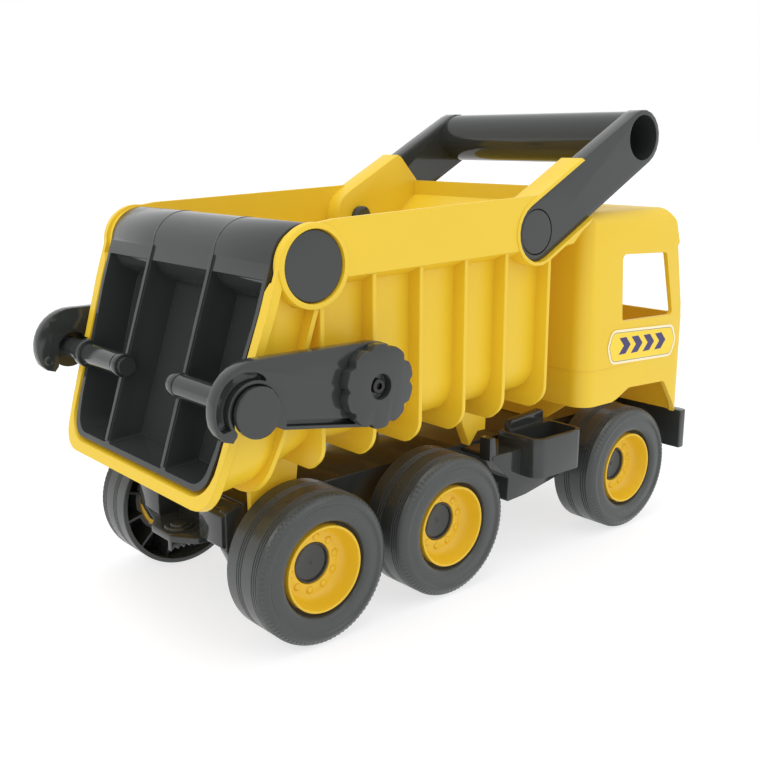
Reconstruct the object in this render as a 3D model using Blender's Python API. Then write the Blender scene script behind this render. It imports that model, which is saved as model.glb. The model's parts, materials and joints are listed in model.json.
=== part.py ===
"""Toy dump truck with a tipping tub, a latched tailgate and six free wheels.

All drawing is done in millimetres in the axle frame: x = 0 on the rear axle,
+x towards the cab, +y to the left, z = 0 on the floor.  SHIFT_X moves the
finished truck so that the middle of its bounding box sits on the origin.
"""
import math

import bmesh
import bpy
from mathutils import Vector

MM = 0.001

# ---- overall sizes -------------------------------------------------------
TYRE_R = 40.0                      # tyre radius
TYRE_W = 30.4                      # tyre width
TUB_HALF = 86.0                    # half width of the tub's upper band
TYRE_OUT = TUB_HALF - 0.9          # outer sidewall of every tyre, from centre
AXLE_X = (0.0, 2 * TYRE_R + 9.15, 248.95)      # rear, middle and front axle
TUB_WALL = 3.0                     # moulded wall of the tub
CAB_HALF = TUB_HALF - 2.0          # half width of the cab
CAB_REAR = 198.5                   # rear wall of the cab
CAB_TOP = 207.0                    # roof height
CAB_WALL = 3.0
BUMPER_FRONT = 312.0               # foremost face
HANDLE_R = 15.6                    # handle tube radius
HANDLE_X = 244.6                   # centre of the handle tube
HANDLE_Z = CAB_TOP + 25.316 + 1.14 * HANDLE_R
GAP = 0.3                          # play between touching pieces

# ---- derived and local sizes ---------------------------------------------
AXLE_Z = 40.0                      # height of the axles in the drawing
LIFT = TYRE_R - AXLE_Z             # raises the truck when its tyres are bigger
AXLE_R = 3.0
TYRE_IN = TYRE_OUT - TYRE_W
RIM_R = TYRE_R * 0.576
RIM_FACE = TYRE_OUT - 12.8
CAP_R = TYRE_R * 0.27

SLOPE = math.radians(18.0)         # lean of the tub's rear opening
HINGE_X, HINGE_Z = -6.4, 192.5     # tailgate hinge axis
HINGE_R = 19.4                     # rolled top of the tailgate
FLANGE_N = 19.1                    # flange face, out from the hinge axis
FLANGE_T = 4.5
GATE_N = 18.8                      # outer face of the tailgate, out from the hinge axis
GATE_HALF = TUB_HALF - 7.6                   # half width of the tailgate

TIP_X, TIP_Z = -10.0, 58.0         # tipping axis of the tub
TIP_R = 4.0
BRACKET_IN, BRACKET_OUT = 46.0, 49.5

TUB_FRONT = 166.0                  # lower front wall
TUB_NOSE = TUB_FRONT + 36.0        # upper front wall, over the cab's roof edge
TUB_SKIN = TUB_HALF - 10.0         # wall between the ribs
RIB_T = 2.6
RIB_HALF = TUB_HALF - 1.5
RIB_X = (-1.0, 31.2, 62.4, 94.6, 125.7, TUB_FRONT - 4.5)

PEG_X, PEG_Z = -47.2, 132.6        # tailgate pegs
PEG_R = 6.0
KNOB_X, KNOB_Z = 20.0, 134.5       # latch pivot
ARM_IN, ARM_OUT = TUB_HALF + 3.6, TUB_HALF + 10.0
DISC_OUT = ARM_OUT + 3.2
KNOB_OUT = ARM_OUT + 6.4
KNOB_R = 19.6

EAR_X = 150.0                      # plug that holds the handle
HAND_OUT = TUB_HALF - 2.1
HAND_IN = HAND_OUT - 9.9
HAND_HALF = HANDLE_R + 0.8         # half the height of the handle's arms
EAR_Z = CAB_TOP - 26.696 + 1.14 * HAND_HALF
PLUG_R = HANDLE_R - 3.0

RAIL_IN, RAIL_OUT = 38.0, 44.5     # chassis side rails
DECK_TOP, DECK_T = 70.0, 3.0
RAIL_LOW = 34.5
TAIL_X = -35.0                     # rear face of the chassis
BOX_X0, BOX_X1 = 157.0, 200.0      # side pocket
BOX_OUT = TUB_HALF - 1.0
GUARD_OUT = TUB_HALF - 15.0        # wheel guard and floor under the pocket

FAR = TUB_HALF + 30.0              # well outside everything
REAR_MOST = PEG_X - 22.0           # latch hooks reach this far back
SHIFT_X = -(REAR_MOST + BUMPER_FRONT) / 2.0


# ---- small modelling kit ---------------------------------------------------
def clear_scene():
    for item in list(bpy.data.objects):
        bpy.data.objects.remove(item, do_unlink=True)
    for mesh in list(bpy.data.meshes):
        bpy.data.meshes.remove(mesh)


def plastic(name, rgb, rough, metal=0.0):
    mat = bpy.data.materials.new(name)
    mat.use_nodes = True
    shader = mat.node_tree.nodes["Principled BSDF"]
    shader.inputs["Base Color"].default_value = (*rgb, 1.0)
    shader.inputs["Roughness"].default_value = rough
    shader.inputs["Metallic"].default_value = metal
    mat.diffuse_color = (*rgb, 1.0)
    return mat


def solid(name, verts, faces):
    mesh = bpy.data.meshes.new(name)
    pts = [Vector(v) * MM for v in verts]
    mesh.from_pydata(pts, [], faces)
    bm = bmesh.new()
    bm.from_mesh(mesh)
    bmesh.ops.recalc_face_normals(bm, faces=bm.faces)
    if bm.calc_volume(signed=True) < 0:
        bmesh.ops.reverse_faces(bm, faces=bm.faces)
    bm.to_mesh(mesh)
    bm.free()
    obj = bpy.data.objects.new(name, mesh)
    bpy.context.scene.collection.objects.link(obj)
    return obj


def bridge(name, rings):
    """Closed solid through equally long rings of points."""
    count = len(rings[0])
    verts = [p for ring in rings for p in ring]
    faces = [list(range(count))[::-1]]
    for k in range(len(rings) - 1):
        a, b = k * count, (k + 1) * count
        for i in range(count):
            j = (i + 1) % count
            faces.append([a + i, a + j, b + j, b + i])
    last = (len(rings) - 1) * count
    faces.append([last + i for i in range(count)])
    return solid(name, verts, faces)


def fillet(pts, radii, seg=3):
    """Round the corners of a flat outline."""
    out = []
    count = len(pts)
    for i in range(count):
        r = radii[i] if isinstance(radii, (list, tuple)) else radii
        p = Vector(pts[i])
        a = Vector(pts[i - 1]) - p
        b = Vector(pts[(i + 1) % count]) - p
        if r <= 0:
            out.append(tuple(p))
            continue
        angle = a.angle(b)
        if angle > math.pi - 0.02:
            out.append(tuple(p))
            continue
        limit = 0.49 * min(a.length, b.length)
        d = min(r / math.tan(angle / 2), limit)
        r = d * math.tan(angle / 2)
        centre = p + (a.normalized() + b.normalized()).normalized() * (r / math.sin(angle / 2))
        s = p + a.normalized() * d - centre
        e = p + b.normalized() * d - centre
        turn = math.atan2(s.x * e.y - s.y * e.x, s.dot(e))
        for k in range(seg + 1):
            t = turn * k / seg
            out.append((centre.x + s.x * math.cos(t) - s.y * math.sin(t),
                        centre.y + s.x * math.sin(t) + s.y * math.cos(t)))
    return out


def prism_y(name, outline, y0, y1):
    return bridge(name, [[(a, y, b) for a, b in outline] for y in (y0, y1)])


def prism_x(name, outline, x0, x1):
    return bridge(name, [[(x, a, b) for a, b in outline] for x in (x0, x1)])


def prism_z(name, outline, z0, z1):
    return bridge(name, [[(a, b, z) for a, b in outline] for z in (z0, z1)])


def box(name, x0, x1, y0, y1, z0, z1):
    return prism_z(name, [(x0, y0), (x1, y0), (x1, y1), (x0, y1)], z0, z1)


def circle(cx, cz, r, seg=32, start=0.0):
    step = 2 * math.pi / seg
    return [(cx + r * math.cos(start + i * step), cz + r * math.sin(start + i * step))
            for i in range(seg)]


def rod_y(name, cx, cz, r, y0, y1, seg=20):
    return prism_y(name, circle(cx, cz, r, seg), y0, y1)


def spin_y(name, cx, cz, profile, seg=40, side=1.0):
    """Turn a closed (radius, y) outline about an axis along y."""
    rings = []
    for i in range(seg):
        t = 2 * math.pi * i / seg
        rings.append([(cx + r * math.cos(t), side * y, cz + r * math.sin(t))
                      for r, y in profile])
    count = len(profile)
    verts = [p for ring in rings for p in ring]
    faces = []
    for k in range(seg):
        a, b = k * count, ((k + 1) % seg) * count
        for i in range(count):
            j = (i + 1) % count
            faces.append([a + i, a + j, b + j, b + i])
    return solid(name, verts, faces)


def turned_y(name, cx, cz, steps, seg=20, side=1.0):
    """Solid of revolution given as (y, radius) stations along the axis."""
    return bridge(name, [[(a, side * y, b) for a, b in circle(cx, cz, r, seg)]
                         for y, r in steps])


def combine(base, others, how):
    for other in others:
        mod = base.modifiers.new("step", "BOOLEAN")
        mod.operation = how
        mod.solver = "EXACT"
        mod.object = other
        graph = bpy.context.evaluated_depsgraph_get()
        mesh = bpy.data.meshes.new_from_object(base.evaluated_get(graph))
        base.modifiers.clear()
        base.data = mesh
        bpy.data.objects.remove(other, do_unlink=True)
    bm = bmesh.new()
    bm.from_mesh(base.data)
    bmesh.ops.remove_doubles(bm, verts=bm.verts, dist=0.002 * MM)
    bmesh.ops.dissolve_degenerate(bm, edges=bm.edges, dist=0.002 * MM)
    bm.to_mesh(base.data)
    bm.free()
    return base


def add(base, *others):
    return combine(base, others, "UNION")


def cut(base, *others):
    return combine(base, others, "DIFFERENCE")


def common(base, other):
    return combine(base, [other], "INTERSECT")


def finish(obj, mat, pivot=(0.0, 0.0, 0.0)):
    """Give the piece its material and put its origin on its pivot."""
    obj.data.name = obj.name
    obj.data.materials.clear()
    obj.data.materials.append(mat)
    centre = Vector(pivot) * MM
    shift = Vector((SHIFT_X, 0.0, LIFT)) * MM
    for v in obj.data.vertices:
        v.co = v.co - centre
    obj.location = centre + shift
    obj.data.shade_smooth()
    obj.data.set_sharp_from_angle(angle=math.radians(32.0))
    return obj


def lean(n, u, y):
    """Point given out from and down along the tub's sloping rear face."""
    return (HINGE_X - n * math.cos(SLOPE) - u * math.sin(SLOPE), y,
            HINGE_Z + n * math.sin(SLOPE) - u * math.cos(SLOPE))


def lean_slab(name, outline, n0, n1, shrink=0.0):
    """Slab parallel to the rear face; outline is (y, u) pairs."""
    rings = []
    for n, s in ((n0, shrink), (n1, 0.0)):
        rings.append([lean(n, u, y - math.copysign(s, y) if abs(y) > 1 else y)
                      for y, u in outline])
    return bridge(name, rings)


def rib_low(x):
    """Lower edge of the ribs and of the rear flange."""
    if x > 0:
        return 91.0 + x * 0.024
    return max(91.0 + x * 0.25, 82.8 + (x + 33.0) * 0.06)


def skin_low(x):
    """Underside of the tub's floor between the ribs."""
    if x > 0:
        return rib_low(x) + 8.5
    return max(99.5 + x * 0.35, 87.9 + (x + 33.0) * 0.16)


def ledge_z(x):
    return 184.2 + 0.0286 * x


def rim_z(x):
    return 213.3 + 0.04 * x


# ---- wheels --------------------------------------------------------------
def wheel(tag, cx, side, mats):
    out, inn = TYRE_OUT, TYRE_IN
    seat = RIM_R + GAP
    tyre = spin_y("tyre_" + tag, cx, AXLE_Z, [
        (TYRE_R, inn), (TYRE_R, out - 3.6), (TYRE_R - 1.2, out - 0.9), (TYRE_R - 3.6, out),
        (seat + 2.0, out), (seat, out - 1.9),
        (seat, RIM_FACE - 5.0), (seat + 2.2, RIM_FACE - 5.0), (seat + 2.2, out - 3.0),
        (TYRE_R - 2.6, out - 3.6), (TYRE_R - 2.6, inn)],
        seg=28, side=side)
    lip = RIM_R - 1.6
    rim = spin_y("rim_" + tag, cx, AXLE_Z, [
        (AXLE_R + 0.2, inn + 1.0), (AXLE_R + 4.5, inn + 1.0), (AXLE_R + 4.5, RIM_FACE - 6.0),
        (RIM_R, RIM_FACE - 6.0), (RIM_R, out - 1.8), (lip, out - 1.8),
        (lip - 3.2, RIM_FACE), (CAP_R + 0.3, RIM_FACE),
        (CAP_R + 0.3, RIM_FACE - 3.4), (AXLE_R + 0.2, RIM_FACE - 3.4)],
        seg=20, side=side)
    cap = turned_y("hub_cap_" + tag, cx, AXLE_Z, [
        (RIM_FACE - 3.1, CAP_R), (RIM_FACE - 1.2, CAP_R),
        (RIM_FACE - 0.6, CAP_R - 0.8)], seg=20, side=side)
    pivot = (cx, 0.0, AXLE_Z)
    finish(tyre, mats["rubber"], pivot)
    finish(rim, mats["rim"], pivot)
    finish(cap, mats["black"], pivot)


# ---- chassis ---------------------------------------------------------------
def chassis(mats):
    front = BUMPER_FRONT - 8.0
    body = box("chassis", TAIL_X + 12, front - 14, -RAIL_OUT, RAIL_OUT,
               DECK_TOP - DECK_T, DECK_TOP)
    parts = []
    side = fillet([(TAIL_X + 2, 46), (TAIL_X + 6, RAIL_LOW + 3), (TAIL_X + 12, RAIL_LOW),
                   (front - 34, RAIL_LOW), (front - 10, 50), (front - 10, DECK_TOP - 1),
                   (TAIL_X + 13, DECK_TOP - 1), (TAIL_X + 2, DECK_TOP - 3)], 2.0, 3)
    for s in (-1, 1):
        parts.append(prism_y("rail", side, s * RAIL_IN, s * RAIL_OUT))
        # upper rear box beside the hitch
        block = fillet([(TAIL_X, 47.5), (TAIL_X + 19, 47.5), (TAIL_X + 19, DECK_TOP - 1.2),
                        (TAIL_X + 9, DECK_TOP - 0.8), (TAIL_X, DECK_TOP - 5)], 1.5, 3)
        parts.append(prism_y("tailbox", block, s * 21.5, s * (RAIL_OUT - 1.2)))
        # guard in front of the middle wheel and floor under the pocket
        guard = [(AXLE_X[1] + 42, 68.5), (AXLE_X[1] + 58, 52.5), (AXLE_X[1] + 57, 37.5),
                 (AXLE_X[1] + 74, 38.5), (BOX_X1 - 6, 44.0), (BOX_X1 - 3, 53.0),
                 (BOX_X1 - 3, 68.5)]
        parts.append(prism_y("guard", fillet(guard, 1.5, 3), s * (RAIL_OUT - 2), s * GUARD_OUT))
        fin = [(AXLE_X[1] + 42, 66.0), (AXLE_X[1] + 42, 79.4), (AXLE_X[1] + 46.5, 79.4),
               (AXLE_X[1] + 49.5, 66.0)]
        parts.append(prism_y("fin", fin, s * (GUARD_OUT - 9.0), s * (GUARD_OUT - 0.6)))
        # open pocket standing out from the side
        r = 7.0
        ring = fillet([(BOX_X0, s * 52.0), (BOX_X1, s * 52.0), (BOX_X1, s * BOX_OUT),
                       (BOX_X0, s * BOX_OUT)], [2.0, 2.0, r, r], 3)
        parts.append(prism_z("pocket", ring, 52.2, 76.5))
        bar = fillet([(BOX_X0 + 3, 60.0), (BOX_X1 - 7, 60.0), (BOX_X1 - 7, 84.6), (BOX_X0 + 6, 82.0)],
                     [0, 0, 2, 2], 3)
        parts.append(prism_y("bar", bar, s * 52.6, s * 57.6))
        # bumper stay
        parts.append(box("stay", front - 20, front + 1.5, s * (RAIL_IN - 6),
                         s * (RAIL_OUT - 1.5), 50.5, DECK_TOP - 5))
    parts.append(box("tail_web", TAIL_X + 12.5, TAIL_X + 16, -RAIL_IN - 1, RAIL_IN + 1,
                     43.2, DECK_TOP - 1))
    parts.append(box("cross_mid", AXLE_X[1] + 40, AXLE_X[1] + 43, -RAIL_IN - 1, RAIL_IN + 1,
                     42.0, DECK_TOP - 1))
    parts.append(box("cross_front", AXLE_X[2] - 24, AXLE_X[2] - 21, -RAIL_IN - 1, RAIL_IN + 1,
                     42.0, DECK_TOP - 1))
    tab = fillet([(TAIL_X + 14, -24), (TAIL_X + 14, 24), (TAIL_X - 2, 22),
                  (TAIL_X - 11, 10), (TAIL_X - 11, -10), (TAIL_X - 2, -22)], 4.0, 3)
    parts.append(prism_z("tab", tab, 44.2, 47.6))
    parts.append(prism_z("tab_ring", circle(TAIL_X, 0, 7.6, 28), 46.0, 48.6))
    bumper = fillet([(front, -CAB_HALF - 1), (BUMPER_FRONT, -CAB_HALF - 1),
                     (BUMPER_FRONT, CAB_HALF + 1), (front, CAB_HALF + 1)],
                    [1.0, 5.0, 5.0, 1.0], 3)
    parts.append(prism_z("bumper", bumper, 43.0, DECK_TOP - 0.8))
    add(body, *parts)
    cuts = []
    for x in AXLE_X:
        cuts.append(rod_y("bore", x, AXLE_Z, AXLE_R + 0.1, -60, 60, 24))
    cuts.append(rod_y("bore", TIP_X, TIP_Z, TIP_R + 0.15, -60, 60, 24))
    cuts.append(prism_z("hole", circle(TAIL_X, 0, 5.0, 24), 40, 52))
    for s in (-1, 1):
        ring = fillet([(BOX_X0 + 2.6, s * 60.0), (BOX_X1 - 2.6, s * 60.0),
                       (BOX_X1 - 2.6, s * (BOX_OUT - 2.6)), (BOX_X0 + 2.6, s * (BOX_OUT - 2.6))],
                      [2.0, 2.0, 5.0, 5.0], 3)
        cuts.append(prism_z("hollow", ring, 55.5, 90))
        cuts.append(box("guard_hollow", AXLE_X[1] + 63, BOX_X1 - 6.5, s * (RAIL_OUT + 3.5),
                        s * 57.0, 30, 66.0))
    cuts.append(prism_z("screw_hole", circle(216.0, 0, 2.4, 20), 60, 80))
    cuts.append(prism_z("screw_hole", circle(278.0, 0, 2.4, 20), 60, 80))
    cut(body, *cuts)
    finish(body, mats["black"])
    # serrated towing catch pinned under the tab
    teeth = [(TAIL_X - 6.0, 35.0)]
    for k in range(4):
        teeth.append((TAIL_X - 3.5 + k * 3.4, 37.2))
        teeth.append((TAIL_X - 1.6 + k * 3.4, 35.4))
    outline = teeth + [(TAIL_X + 10.0, 43.7), (TAIL_X - 6.0, 43.7)]
    catch = prism_y("hitch_catch", outline, -1.8, 1.8)
    stem = prism_z("stem", circle(TAIL_X, 0, 4.6, 24), 40.5, 49.6)
    add(catch, stem)
    finish(catch, mats["black"])


def axles(mats):
    reach = RIM_FACE - 3.9
    for tag, x in zip(("rear", "middle", "front"), AXLE_X):
        rod = turned_y("axle_" + tag, x, AXLE_Z, [
            (-reach, AXLE_R - 0.6), (-reach + 0.6, AXLE_R), (reach - 0.6, AXLE_R),
            (reach, AXLE_R - 0.6)], 24)
        finish(rod, mats["steel"], (x, 0.0, AXLE_Z))
    pin = turned_y("tub_pivot_pin", TIP_X, TIP_Z, [
        (-BRACKET_OUT - 2.4, TIP_R + 1.8), (-BRACKET_OUT - 0.3, TIP_R + 1.8),
        (-BRACKET_OUT - 0.3, TIP_R), (BRACKET_OUT + 0.3, TIP_R),
        (BRACKET_OUT + 0.3, TIP_R + 1.8), (BRACKET_OUT + 2.4, TIP_R + 1.8)], 24)
    finish(pin, mats["steel"], (TIP_X, 0.0, TIP_Z))


# ---- cab -------------------------------------------------------------------
def cab(mats):
    low, seam = 69.8, 111.0
    half = CAB_HALF
    rear, top = CAB_REAR, CAB_TOP
    face = BUMPER_FRONT - 6.2
    plan = fillet([(rear, -half), (face, -half), (face, half), (rear, half)], 12.0, 6)
    body = prism_z("cab_shell", plan, low, top)
    sil = fillet([(rear - 5, low - 5), (face + 0.5, low - 5), (face, low), (face - 4.2, seam),
                  (face - 6.0, 136.0), (face - 7.6, 136.8), (face - 15.0, 182.0),
                  (face - 13.2, 184.0), (face - 17.5, 198.0), (face - 27.0, top),
                  (rear + 3, top), (rear, top - 3), (rear - 5, top - 8)],
                 [0, 0, 0, 2, 0.8, 0.8, 0.8, 2, 6, 6, 3, 3, 0], 3)
    common(body, prism_y("sil", sil, -half - 5, half + 5))
    roof = fillet([(-half - 0.01, low - 5), (half + 0.01, low - 5), (half + 0.01, seam),
                   (half - 0.3, 136.0), (half - 1.6, top + 0.2), (-half + 1.6, top + 0.2),
                   (-half + 0.3, 136.0), (-half - 0.01, seam)],
                  [0, 0, 0, 20, 8.5, 8.5, 20, 0], 3)
    common(body, prism_x("crown", roof, rear - 5, face + 5))
    w = CAB_WALL
    inner_plan = fillet([(rear + w, -half + w), (face - w - 1, -half + w),
                         (face - w - 1, half - w), (rear + w, half - w)], 9.0, 3)
    inner = prism_z("inner", inner_plan, low - 10, top - w)
    inner_sil = [(rear + w - 1, low - 20), (face - w - 1, low - 20), (face - w - 1, low),
                 (face - w - 4.6, seam), (face - w - 7.0, 136.0), (face - w - 16.0, 182.0),
                 (face - w - 19.0, 197.0), (face - w - 27.0, top - w), (rear + w + 3, top - w),
                 (rear + w - 1, top - w - 4)]
    common(inner, prism_y("in_sil", inner_sil, -half, half))
    inner_roof = fillet([(-half + w, low - 20), (half - w, low - 20), (half - w, 136.0),
                         (half - 1.6 - w, top - w), (-half + 1.6 + w, top - w),
                         (-half + w, 136.0)], [0, 0, 20, 6, 6, 20], 3)
    common(inner, prism_x("in_crown", inner_roof, rear - 5, face + 5))
    cuts = [inner]
    # wheel arches and the raised rear skirt
    arch = fillet([(rear - 10, low - 20), (rear - 10, 88.0), (228.0, 88.0), (233.0, 89.5),
                   (244.5, 95.0), (282.5, 93.5), (298.0, 71.5), (299.5, low - 20)],
                  [0, 0, 3, 4, 4, 4, 2, 0], 3)
    cuts.append(prism_y("arch", arch, -half - 5, half + 5))
    window = fillet([(232.3, 180.6), (278.6, 178.6), (287.8, 137.4), (234.0, 139.0)],
                    [3.5, 2.5, 3.0, 2.5], 3)
    cuts.append(prism_y("window", window, -half - 5, half + 5))
    screen = fillet([(-half + 5.5, 137.5), (half - 5.5, 137.5), (half - 8.5, 178.5),
                     (-half + 8.5, 178.5)], 4.0, 3)
    cuts.append(prism_x("screen", screen, face - 30, face + 5))
    cut(body, *cuts)
    # raised skirt line and mounting webs that stand on the chassis deck
    webs = []
    for x0, tall in ((CAB_REAR + 14.0, 122.0), (276.5, 118.0)):
        foot = fillet([(-40.0, DECK_TOP + GAP), (40.0, DECK_TOP + GAP), (half - 2.0, 100.0),
                       (half - 2.0, tall), (-half + 2.0, tall), (-half + 2.0, 100.0)], 1.0, 2)
        webs.append(prism_x("web", foot, x0, x0 + 2.6))
    webs.append(prism_z("boss", circle(216.0, 0, 4.5, 20), DECK_TOP + GAP, 92.0))
    webs.append(prism_z("boss", circle(278.0, 0, 4.5, 20), DECK_TOP + GAP, 92.0))
    add(body, *webs)
    cut(body, prism_z("pilot", circle(216.0, 0, 1.7, 16), 60, 84.0),
        prism_z("pilot", circle(278.0, 0, 1.7, 16), 60, 84.0))
    finish(body, mats["yellow"])
    for tag, s in (("left", 1), ("right", -1)):
        plate = fillet([(223.6, 112.6), (288.0, 109.8), (292.6, 120.4), (288.4, 131.0),
                        (223.4, 134.4), (219.6, 123.6)], [6, 6, 5, 6, 6, 5], 3)
        label = prism_y("door_label_" + tag, plate, s * (half + 0.06), s * (half + 0.46))
        finish(label, mats["label"])
    for tag, x in (("rear", 216.0), ("front", 278.0)):
        shank = bridge("cab_screw_" + tag, [
            [(a, b, z) for a, b in circle(x, 0, r, 20)]
            for z, r in ((DECK_TOP - DECK_T - 2.7, 2.6), (DECK_TOP - DECK_T - 1.9, 3.6),
                         (DECK_TOP - DECK_T - 0.3, 3.6), (DECK_TOP - DECK_T - 0.3, 1.5),
                         (82.0, 1.5))])
        finish(shank, mats["steel"])


# ---- tub -------------------------------------------------------------------
def tub_ring(x, inset):
    """Cross-section of the tub at x, inset by the wall thickness."""
    rear = max(0.0, min(1.0, -x / 35.0))
    low = skin_low(x) + inset
    wide = TUB_SKIN + rear * 7.5 - inset
    narrow = TUB_SKIN + rear * 2.0 - inset
    band = TUB_HALF - inset
    step = ledge_z(x) + inset * 0.6
    r = 20.0 - inset
    high = 300.0 if inset else rim_z(x)
    half = [(0.0, low)]
    for k in range(7):
        t = -math.pi / 2 + k * math.pi / 12
        half.append((narrow - r + r * math.cos(t), low + r + r * math.sin(t)))
    half += [(wide, step - 3.0), (band, step + 1.5), (band, high)]
    ring = half + [(-a, b) for a, b in half[::-1] if a > 0.01]
    return [(x, a, b) for a, b in ring]


def gate_edge(n, extra):
    """Edge of the tailgate at depth n, as (y, u) pairs, grown by extra."""
    draft = (n - 18.2) / 20.8
    wide = GATE_HALF + 3.4 * draft + extra
    low = 114.6 + 8.6 * draft + extra
    pts = [(wide, 0.0), (wide, 26.0), (wide - 6.0, 96.0), (wide - 10.0, low),
           (-wide + 10.0, low), (-wide + 6.0, 96.0), (-wide, 26.0), (-wide, 0.0)]
    return fillet(pts, [0, 40, 20, 16, 16, 20, 40, 0], 3)


def gate_slab(name, n0, n1, extra):
    return bridge(name, [[lean(n, u, y) for y, u in gate_edge(n, extra)] for n in (n0, n1)])


def flange_outline(extra):
    """Outer edge of the rear flange as (y, u) pairs, grown by extra."""
    top, low = TUB_HALF + extra, TUB_HALF - 6.5 + extra
    pts = [(top, 0.0), (top, 26.0), (low, 97.0), (low - 4.0, 123.4 + extra),
           (-low + 4.0, 123.4 + extra), (-low, 97.0), (-top, 26.0), (-top, 0.0)]
    return fillet(pts, [0, 40, 20, 22, 22, 20, 40, 0], 3)


def tub(mats):
    outer = bridge("tub", [tub_ring(x, 0.0) for x in (-80.0, -33.0, 0.0, TUB_NOSE)])
    skirt_u = 118.0
    side = [lean(FLANGE_N - 1.0, skirt_u + 40, 0)[::2]]
    arc = [lean(FLANGE_N - 1.0, 0, 0)[::2]]
    start = math.pi - SLOPE
    for k in range(1, 7):
        t = start + (math.pi / 2 - start) * k / 6
        arc.append((HINGE_X + HINGE_R * math.cos(t), HINGE_Z + HINGE_R * math.sin(t)))
    side += arc
    side += [(10.0, rim_z(10.0) + 0.4), (TUB_NOSE, rim_z(TUB_NOSE) + 0.4),
             (TUB_NOSE, 209.8), (TUB_FRONT, 178.5), (TUB_FRONT, 40.0)]
    common(outer, prism_y("side", side, -FAR, FAR))
    parts = []
    for x in RIB_X:
        low = rib_low(x)
        tall = ledge_z(x) + 1.0
        plate = fillet([(-RIB_HALF, tall), (-RIB_HALF, low + 8), (-RIB_HALF + 10, low),
                        (RIB_HALF - 10, low), (RIB_HALF, low + 8), (RIB_HALF, tall)],
                       [0, 18, 8, 8, 18, 0], 3)
        parts.append(prism_x("rib", plate, x - RIB_T / 2, x + RIB_T / 2))
    wide = TUB_HALF - 2.0
    slant = fillet([(wide, 14.0), (wide - 1.5, 80.0), (wide - 8.0, 112.3), (8.0 - wide, 112.3),
                    (1.5 - wide, 80.0), (-wide, 14.0)], [0, 20, 22, 22, 20, 0], 3)
    parts.append(lean_slab("rib", slant, -10.1, -7.5))
    parts.append(lean_slab("flange", flange_outline(0.0), FLANGE_N - FLANGE_T, FLANGE_N))
    for s in (-1, 1):
        parts.append(rod_y("boss", HINGE_X, HINGE_Z, HINGE_R + 0.7, s * (TUB_HALF - 7.0),
                           s * (TUB_HALF + 0.9), 36))
        parts.append(rod_y("seat", KNOB_X, KNOB_Z, 9.0, s * (TUB_HALF - 16.0),
                           s * (ARM_IN - GAP), 20))
    add(outer, *parts)
    # hollow
    hollow = bridge("hollow", [tub_ring(x, TUB_WALL) for x in (-110.0, -33.0, 0.0, TUB_NOSE)])
    w = TUB_WALL
    bowl = [(-120.0, 60.0), (TUB_FRONT - w, 60.0), (TUB_FRONT - w, 178.5 + w * 0.5),
            (TUB_NOSE - w, 210.8 + w * 0.4), (TUB_NOSE - w, 320.0), (-120.0, 320.0)]
    common(hollow, prism_y("bowl", bowl, -FAR, FAR))
    cut(outer, hollow, gate_slab("opening", -12.0, 20.5, 0.5))
    # what stands inside or is cut after the hollow
    late = []
    a = math.atan2(HANDLE_Z - EAR_Z, HANDLE_X - EAR_X)
    ca, sa = math.cos(a), math.sin(a)
    rr = HAND_HALF + 2.4

    def along(d, o):
        return (EAR_X + d * ca - o * sa, EAR_Z + d * sa + o * ca)

    ear = [along(-rr * math.sin(k * math.pi / 10), rr * math.cos(k * math.pi / 10))
           for k in range(11)]
    ear += [along(40.0, -rr), (TUB_NOSE - 0.4, 212.0), (TUB_NOSE - 0.4, 222.0),
            along(51.0, rr - 2.5), along(49.0, rr)]
    for s in (-1, 1):
        late.append(prism_y("ear", ear, s * (HAND_IN - 3.2), s * (TUB_HALF + 0.7)))
        late.append(rod_y("boss", HINGE_X, HINGE_Z, HINGE_R - 0.9, s * (TUB_HALF - 6.8),
                          s * (TUB_HALF - 0.8), 36))
    # brackets down to the tipping axis and the locating feet
    for s in (-1, 1):
        arm = fillet([(-22.0, 98.0), (-21.0, 64.0), (-16.0, 50.0), (-4.0, 50.0), (6.0, 64.0),
                      (10.0, 98.0)], [0, 6, 6, 6, 6, 0], 3)
        late.append(prism_y("bracket", arm, s * BRACKET_IN, s * BRACKET_OUT))
        foot = prism_y("foot", [(131.5, 71.6), (138.0, 79.4), (144.6, 79.4), (145.4, 101.0),
                                (123.0, 101.0), (124.4, 87.0)], s * 46.4, s * 53.6)
        late.append(foot)
    add(outer, *late)
    cuts = [rod_y("swing", HINGE_X, HINGE_Z, HINGE_R + 0.3, 7.0 - TUB_HALF,
                   TUB_HALF - 7.0, 40)]
    for s in (-1, 1):
        tray = [along(-(HAND_HALF + GAP) * math.sin(k * math.pi / 12),
                      (HAND_HALF + GAP) * math.cos(k * math.pi / 12)) for k in range(13)]
        tray += [along(140.0, -HAND_HALF - GAP), along(140.0, HAND_HALF + GAP)]
        cuts.append(prism_y("tray", tray, s * (HAND_IN - GAP), s * FAR))
        cuts.append(rod_y("plug_hole", EAR_X, EAR_Z, 6.3, s * 60, s * FAR, 20))
        cuts.append(rod_y("cap_seat", HINGE_X, HINGE_Z, 17.4, s * (TUB_HALF - 4.6), s * FAR, 28))
        cuts.append(rod_y("cap_hole", HINGE_X, HINGE_Z, 5.9, s * 60, s * FAR, 20))
        notch = lean(20.3, 69.6, 0)
        cuts.append(rod_y("notch", notch[0], notch[2], PEG_R + 2.2, s * 60, s * FAR, 20))
        cuts.append(rod_y("pilot", KNOB_X, KNOB_Z, 1.9, s * (TUB_SKIN + 1.0), s * FAR, 16))
        cuts.append(rod_y("tip_bore", TIP_X, TIP_Z, TIP_R + 0.3, s * 40, s * 55, 24))
    cut(outer, *cuts)
    finish(outer, mats["yellow"], (TIP_X, 0.0, TIP_Z))


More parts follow.
